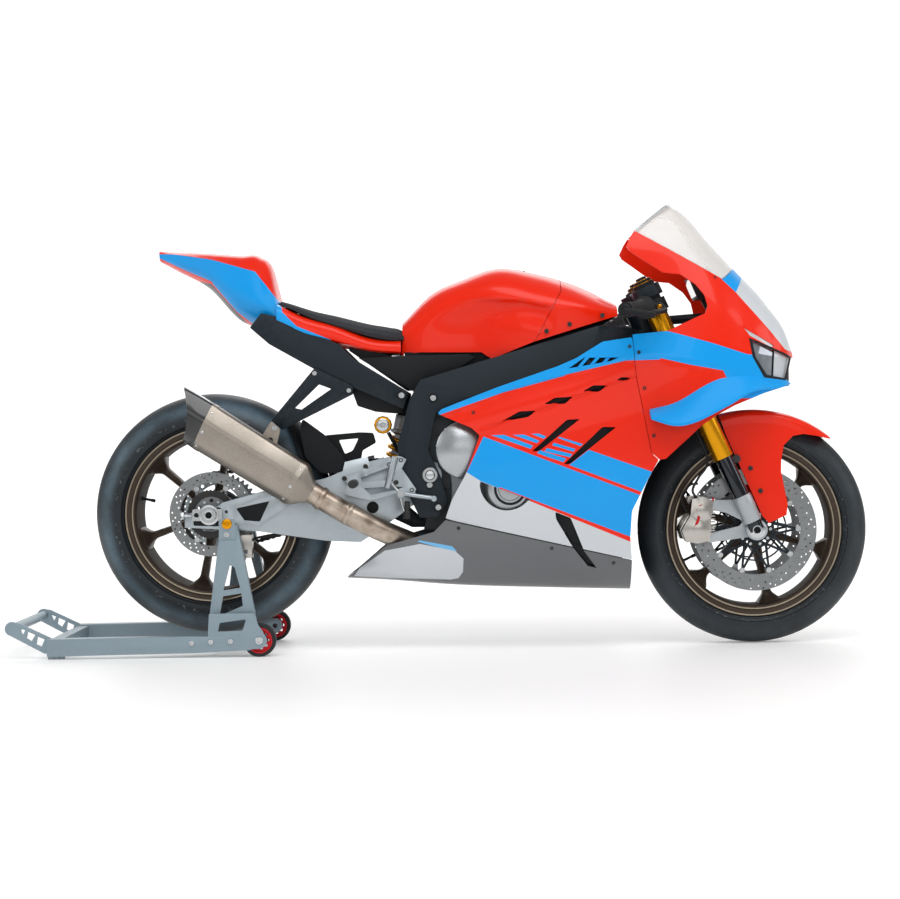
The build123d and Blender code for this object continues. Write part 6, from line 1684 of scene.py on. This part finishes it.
def buildStandTrim():
    refineNode("stand_frame", standPaint, 1.3, loose=True)
    bolts, hubs, tyres, blocks, brass = [], [], [], [], []
    rx, rz = stand["roller"]
    for side in (-1, 1):
        bolts.append(screws([(x, side * 210.6, z) for x, z in stand["armBolts"]], (0, side, 0), 6.5, 4))
        bolts.append(sidePart([(0, 9), (1, 10), (3, 10), (4, 9), (4, 5), (2, 4.4)], rx, rz, side, 210.6, 32))
        bolts.append(screws([(x, side * 188, z) for x, z in stand["cradleBolts"][1:]], (0, side, 0), 7.5, 4.5))
        blocks.append(sidePlate([roundLoop(stand["cheek"], 3, 3), roundLoop(stand["window"], 3, 3)], side, 206.4, 210.4, 0.8))
        brass.append(sidePart([(0, 12), (1, 13), (3, 13), (4, 11), (4, 5), (2, 4)], *stand["cradleBolts"][0], side, 188.2, 32))
        blocks.append(sidePlate([roundLoop([(-549, 300), (-549, 352), (-508, 352), (-504, 300)], 5, 3)], side, 186, 188.5, 0.8))
        middle = (rx, side * 193, rz)
        rows = np.array([(-12.4, 33), (-12.4, 40), (-10.6, 42), (10.6, 42), (12.4, 40), (12.4, 33)], float)
        tyres.append(turnedRing(rows, middle, (0, 1, 0), 72))
        rows = np.array([(-11.6, 34.4), (-11.6, 29.5), (-7, 28), (7, 28), (11.6, 29.5), (11.6, 34.4)], float)
        hubs.append(turnedRing(rows, middle, (0, 1, 0), 72))
        rows = np.array([(-12, 14), (-12, 6.4), (12, 6.4), (12, 14)], float)
        hubs.append(turnedRing(rows, middle, (0, 1, 0), 40))
        holes = [arcLoop(rx + 21 * math.cos(a), rz + 21 * math.sin(a), 4.2, 16) for a in np.arange(9) * 2 * math.pi / 9]
        hubs.append(platePart([arcLoop(rx, rz, 29, 60), arcLoop(rx, rz, 12, 30)] + holes, side * 193 - 6, side * 193 + 6, 0.8))
    newPiece("standBolts", bolts, brightSteel, "stand_frame", angle=40)
    newPiece("cradlePlates", blocks, standPaint, "stand_frame")
    newPiece("cradleSpools", brass, goldAnodised, "stand_frame", angle=40)
    newPiece("rollerTyres", tyres, rubberBlack, "stand_rollers", ["stand_rollers"], angle=40)
    newPiece("rollerHubs", hubs, rollerRed, "stand_rollers", angle=40)


controls = {"tilt": 22.0, "droop": 5.0, "root": (567.6, 132.0, 879.2)}


def barPoint(side, along, off=(0, 0, 0)):
    tilt, droop = math.radians(controls["tilt"]), math.radians(controls["droop"])
    x, y, z = controls["root"]
    return np.array((x - along * math.sin(tilt) + off[0], side * (y + along * math.cos(tilt) + off[1]),
                     z - along * math.sin(droop) + off[2]))


def buildControls():
    grips, metal, black, brass = [], [], [], []
    for side in (-1, 1):
        direction = barPoint(side, 100) - barPoint(side, 0)
        ribs = [(a + d, r) for a in np.arange(94, 214, 5.0) for d, r in ((0, 17.4), (1, 18.6), (3.4, 18.6), (4.2, 17.4))]
        collar = [(60.5, 12), (60.5, 27), (62, 29), (66, 29.4), (68, 27), (72, 23), (80, 20.4), (90, 19)]
        rows = collar + ribs + [(216, 19.6), (221, 19.6), (221.6, 12)]
        grips.append(turnedPart(rows, barPoint(side, 0), direction, 40))
        metal.append(turnedPart([(222.5, 9), (222.5, 14), (224, 15), (233, 15), (235, 13), (235, 8)], barPoint(side, 0),
                                direction, 36))
        # switch block, perch and its clamp screws
        black.append(turnedPart([(38, 15), (39, 20), (57, 20), (58, 15)], barPoint(side, 0), direction, 28))
        black.append(tubePart([barPoint(side, 50, (12, 0, 0)), barPoint(side, 50, (34, 0, 2)),
                               barPoint(side, 56, (52, 0, -5))], [10, 9, 8], 16, 6))
        black.append(turnedPart([(0, 9), (1, 10), (34, 10), (36, 8), (46, 8), (47, 6)], barPoint(side, 14, (26, 0, 2)),
                                barPoint(side, 60) - barPoint(side, 14), 24))
        black.append(tubePart([barPoint(side, 54, (50, 0, -6)), barPoint(side, 90, (60, 0, -8)),
                               barPoint(side, 140, (60, 0, -10)), barPoint(side, 184, (55, 0, -10)),
                               barPoint(side, 192, (56, 0, -10))],
                              [6.5, 6, 5.2, 5.6, 6.4], 14, 8))
        for along in (43, 53):
            brass.append(screwPart(barPoint(side, along, (-2, 0, 19)), (0, 0, 1), 3.6, 3.4))
        brass.append(turnedPart([(0, 5), (1, 6), (9, 6), (10, 4), (16, 3)], barPoint(side, 60, (40, 0, 2)),
                                barPoint(side, 60) - barPoint(side, 14), 20))
    newPiece("gripSleeves", grips, gripRubber, "grips", ["grips"], angle=40)
    newPiece("barEnds", metal, satinBlack, "clip_ons", angle=40)
    newPiece("controlBlocks", black, mattBlack, "levers", angle=45)
    newPiece("controlScrews", brass, goldAnodised, "levers", angle=40)
    caps = []
    for side in (-1, 1):
        axis = forkPoint(1, 0) - forkPoint(0, 0)
        caps.append(turnedPart([(fork["blackAbove"], 26), (fork["blackAbove"], 28.2), (701, 28.2), (701, 26)],
                               forkPoint(0, side * 105), axis, 48))
        caps.append(turnedPart([(702, 8), (702, 22), (704, 23.5), (708, 23.5), (709.6, 21), (709.8, 15), (711, 14), (716, 14),
                                (717.4, 12), (717.6, 6)], forkPoint(0, side * 105), axis, 12))
    newPiece("forkCaps", caps, mattBlack, "upper_yoke", angle=28)
    # display glass on the face towards the rider
    a, b = np.array((694, 0, 905.0)), np.array((672, 0, 958.0))
    out = np.array((b[2] - a[2], 0, a[0] - b[0])) * -1
    out = out / np.linalg.norm(out)
    ring = [(a + (b - a) * t + (0, y, 0)) for t, y in ((0.1, -55), (0.1, 55), (0.92, 55), (0.92, -55))]
    glass = gridPart(np.array([[p - out * 0.5 for p in ring], [p + out * 0.9 for p in ring]]), closeCols=True, caps=True)
    newPiece("displayGlass", [glass], glassDark, "display")


def buildRadiator():
    # core of level fins between two tanks
    low, high = np.array((452, 430.0)), np.array((488, 696.0))
    parts = []
    for t in np.linspace(0.05, 0.95, 34):
        x, z = low + (high - low) * t
        parts.append(boxPart((x - 1.2 + 28, -150, z - 1.4), (x + 29.6, 150, z + 1.4)))
    newPiece("radiatorFins", parts, castAlloy, "radiator")


fillers = {
    "underTank": [(-72, 774), (-60, 700), (60, 716), (440, 836), (478, 857), (266, 797), (155, 757), (128, 773)],
    "underSeat": [(-215, 824), (-130, 778), (-40, 732), (-36, 680), (-70, 676), (-215, 780)],
    "gearCase": [(-16, 470), (-8, 606), (40, 640), (150, 668), (170, 600), (160, 330), (48, 330), (10, 306), (-28, 312),
                 (-14, 372)],
}
panelScrews = {
    "side": [(106, 613), (505, 775)],
    "nose": [(528, 760), (540, 669), (562, 548), (730, 950), (700, 600)],
    "belly": [(63, 319), (300, 265), (458, 225)],
}


def buildFillers():
    # a dark sheet under the tank and the seat, partly the dark parts hidden there and partly painted shade, and the
    # gear case seen between frame and side panel, with ribs
    newPiece("tankShadeSheet", [platePart([fillers[name]], -88, 88, 3) for name in ("underTank", "underSeat")], mattBlack,
             "fuel_tank", angle=40)
    parts = [platePart([fillers["gearCase"]], -104, 104, 4)]
    for side in (-1, 1):
        for k in range(7):
            z = 380 + 36 * k
            parts.append(sidePlate([[(6, z), (150, z + 18), (150, z + 23), (6, z + 5)]], side, 103, 110, 0.8))
    newPiece("gearCaseForm", parts, darkCast, "engine_block", angle=40)


def buildPanelScrews():
    # small dark screws set on the skin at the given places seen from the side
    parts = []
    for grid, spots in ((fairingGrid(1), panelScrews["side"]), (noseGrid(), panelScrews["nose"]),
                        (bellyGrid(), panelScrews["belly"])):
        flat = grid.reshape(-1, 3)
        flat = flat[flat[:, 1] > 0]
        for x, z in spots:
            near = flat[np.argmin((flat[:, 0] - x) ** 2 + (flat[:, 2] - z) ** 2)]
            for side in (-1, 1):
                parts.append(screwPart((x, side * (near[1] - 0.3), z), (0, side, 0), 4.6, 2.4))
    newPiece("panelScrews", parts, darkSteel, "side_fairing_right", angle=40)


darkCast = makeFinish("darkCast", (62, 66, 70), (34, 36, 39), metallic=0.5, roughness=0.5, vary=0.2, scale=900, amount=0.6,
                      bump=0.35, bumpSize=0.0003)
castPale = makeFinish("castPale", (186, 192, 196), (140, 146, 150), metallic=0.55, roughness=0.42, vary=0.2, scale=900,
                      amount=0.5, bump=0.3, bumpSize=0.0003)
coverSilver = makeFinish("coverSilver", (190, 194, 197), (140, 144, 148), metallic=0.9, roughness=0.3, vary=0.2, scale=300,
                         amount=0.4, bump=0.08, bumpSize=0.0002)
buildFork()
buildEngineCovers()
buildRearsets()
buildFrameTrim()
buildExhaust()
buildShock()
buildRearTrim()
buildStandTrim()
buildControls()
buildRadiator()
buildFillers()
buildPanelScrews()
print("stage: chassis and controls")

refined = {  # node: finish, edge rounding
    "front_axle": (brightSteel, 0.6), "rear_axle": (brightSteel, 0.6), "fork_tubes": (goldAnodised, 0.6),
    "lower_yoke": (satinBlack, 2.0), "upper_yoke": (satinBlack, 2.0), "clip_ons": (mattBlack, 1.0),
    "levers": (mattBlack, 0.8), "main_frame": (satinBlack, 3.0), "pivot_shaft": (brightSteel, 1.0),
    "engine_block": (castAlloy, 4.0), "swingarm": (brushedAlloy, 3.0), "shock_linkage": (satinBlack, 1.5),
    "subframe": (satinBlack, 3.0), "under_tray": (mattBlack, 3.0), "side_covers": (mattBlack, 1.5),
    "radiator": (mattBlack, 2.0), "fairing_stay": (satinBlack, 1.0), "display": (mattBlack, 3.0),
    "exhaust_hanger": (satinBlack, 1.2), "rear_caliper": (nickel, 2.0),
}

for node, (finish, bevel) in refined.items():
    refineNode(node, finish, bevel)
print("stage: CAD forms refined")

cameraView = {"place": (0.10475, -5.2126, 0.5724), "right": (0.99976997, 0.01491808, -0.01540982),
              "up": (0.01525311, 0.01056214, 0.99982788), "forward": (-0.01507827, 0.99983293, -0.01033217),
              "focalPixels": 1972.0, "frameWidth": 900.0}
studio = {"floor": (0.93, 0.93, 0.925), "world": 0.34, "key": 120.0, "fill": 45.0, "rim": 60.0, "wall": 420.0, "glow": 0.16}


def buildStudio():
    # plain pale sweep of floor and wall, soft boxes above, in front and behind
    width = 30.0
    profile = np.array([(-14.0, 0.0), (3.0, 0.0), (6.0, 0.0), (8.0, 0.0), (9.0, 0.25), (10.3, 1.2), (11.0, 3.0), (11.2, 12.0)])
    path = splineWeights(len(profile), 40) @ profile
    grid = np.zeros((2, len(path), 3))
    grid[0, :, 0], grid[1, :, 0] = -width / 2, width / 2
    grid[..., 1:] = path
    mesh = bpy.data.meshes.new("studioSweep")
    flat, faces = gridPart(grid)
    mesh.from_pydata(flat.tolist(), [], faces)
    mesh.shade_smooth()
    material = bpy.data.materials.new("studioPale")
    material.use_nodes = True
    tree = material.node_tree
    shader = tree.nodes["Principled BSDF"]
    spot = objectSpot(tree)
    noise = noiseOf(tree, spot, 0.6, 2.0)
    rough = remap(tree, noise, start=0.42, end=0.55)
    tree.links.new(rough, shader.inputs["Roughness"])
    shader.inputs["Base Color"].default_value = (*studio["floor"], 1)
    shader.inputs["Emission Color"].default_value = (1, 1, 1, 1)
    shader.inputs["Emission Strength"].default_value = studio["glow"]
    mesh.materials.append(material)
    sweep = bpy.data.objects.new("studioSweep", mesh)
    bpy.context.scene.collection.objects.link(sweep)
    lamps = [  # name, power, size x, size y, place, aim
        ("keySoftbox", studio["key"], 5.0, 2.4, (0.6, -2.6, 4.4), (0, 0, 0.5)),
        ("frontSoftbox", studio["fill"], 6.0, 2.2, (-0.5, -6.5, 2.2), (0, 0, 0.5)),
        ("backSoftbox", studio["rim"], 5.0, 2.0, (0.0, 3.6, 3.6), (0, 0, 0.5)),
        ("tailSoftbox", studio["rim"] * 0.5, 2.0, 2.0, (-4.2, -1.0, 2.2), (0, 0, 0.6)),
        ("noseSoftbox", studio["rim"] * 0.5, 2.0, 2.0, (4.2, -1.0, 2.2), (0, 0, 0.6)),
        ("wallSoftbox", studio["wall"], 12.0, 2.0, (0.0, 4.6, 5.2), (0, 10.5, 1.6)),
    ]
    for name, power, sizeX, sizeY, spot, aim in lamps:
        lamp = bpy.data.lights.new(name, "AREA")
        lamp.shape, lamp.size, lamp.size_y, lamp.energy = "RECTANGLE", sizeX, sizeY, power
        holder = bpy.data.objects.new(name, lamp)
        holder.location = spot
        holder.rotation_euler = (Vector(aim) - Vector(spot)).to_track_quat("-Z", "Y").to_euler()
        bpy.context.scene.collection.objects.link(holder)
    world = bpy.data.worlds.new("studioAir")
    bpy.context.scene.world = world
    world.use_nodes = True
    world.node_tree.nodes["Background"].inputs[0].default_value = (1, 1, 1, 1)
    world.node_tree.nodes["Background"].inputs[1].default_value = studio["world"]


def buildCamera():
    camera = bpy.data.cameras.new("viewCamera")
    camera.sensor_fit, camera.sensor_width = "HORIZONTAL", 36.0
    camera.lens = camera.sensor_width * cameraView["focalPixels"] / cameraView["frameWidth"]
    camera.clip_end = 100.0
    holder = bpy.data.objects.new("viewCamera", camera)
    bpy.context.scene.collection.objects.link(holder)
    turn = np.eye(4)
    turn[:3, 0], turn[:3, 1], turn[:3, 2] = cameraView["right"], cameraView["up"], -np.array(cameraView["forward"])
    turn[:3, 3] = cameraView["place"]
    holder.matrix_world = Matrix(turn.tolist())
    bpy.context.scene.camera = holder


buildStudio()
buildCamera()
bpy.context.scene.view_settings.view_transform = "Standard"
print("stage: studio and camera")
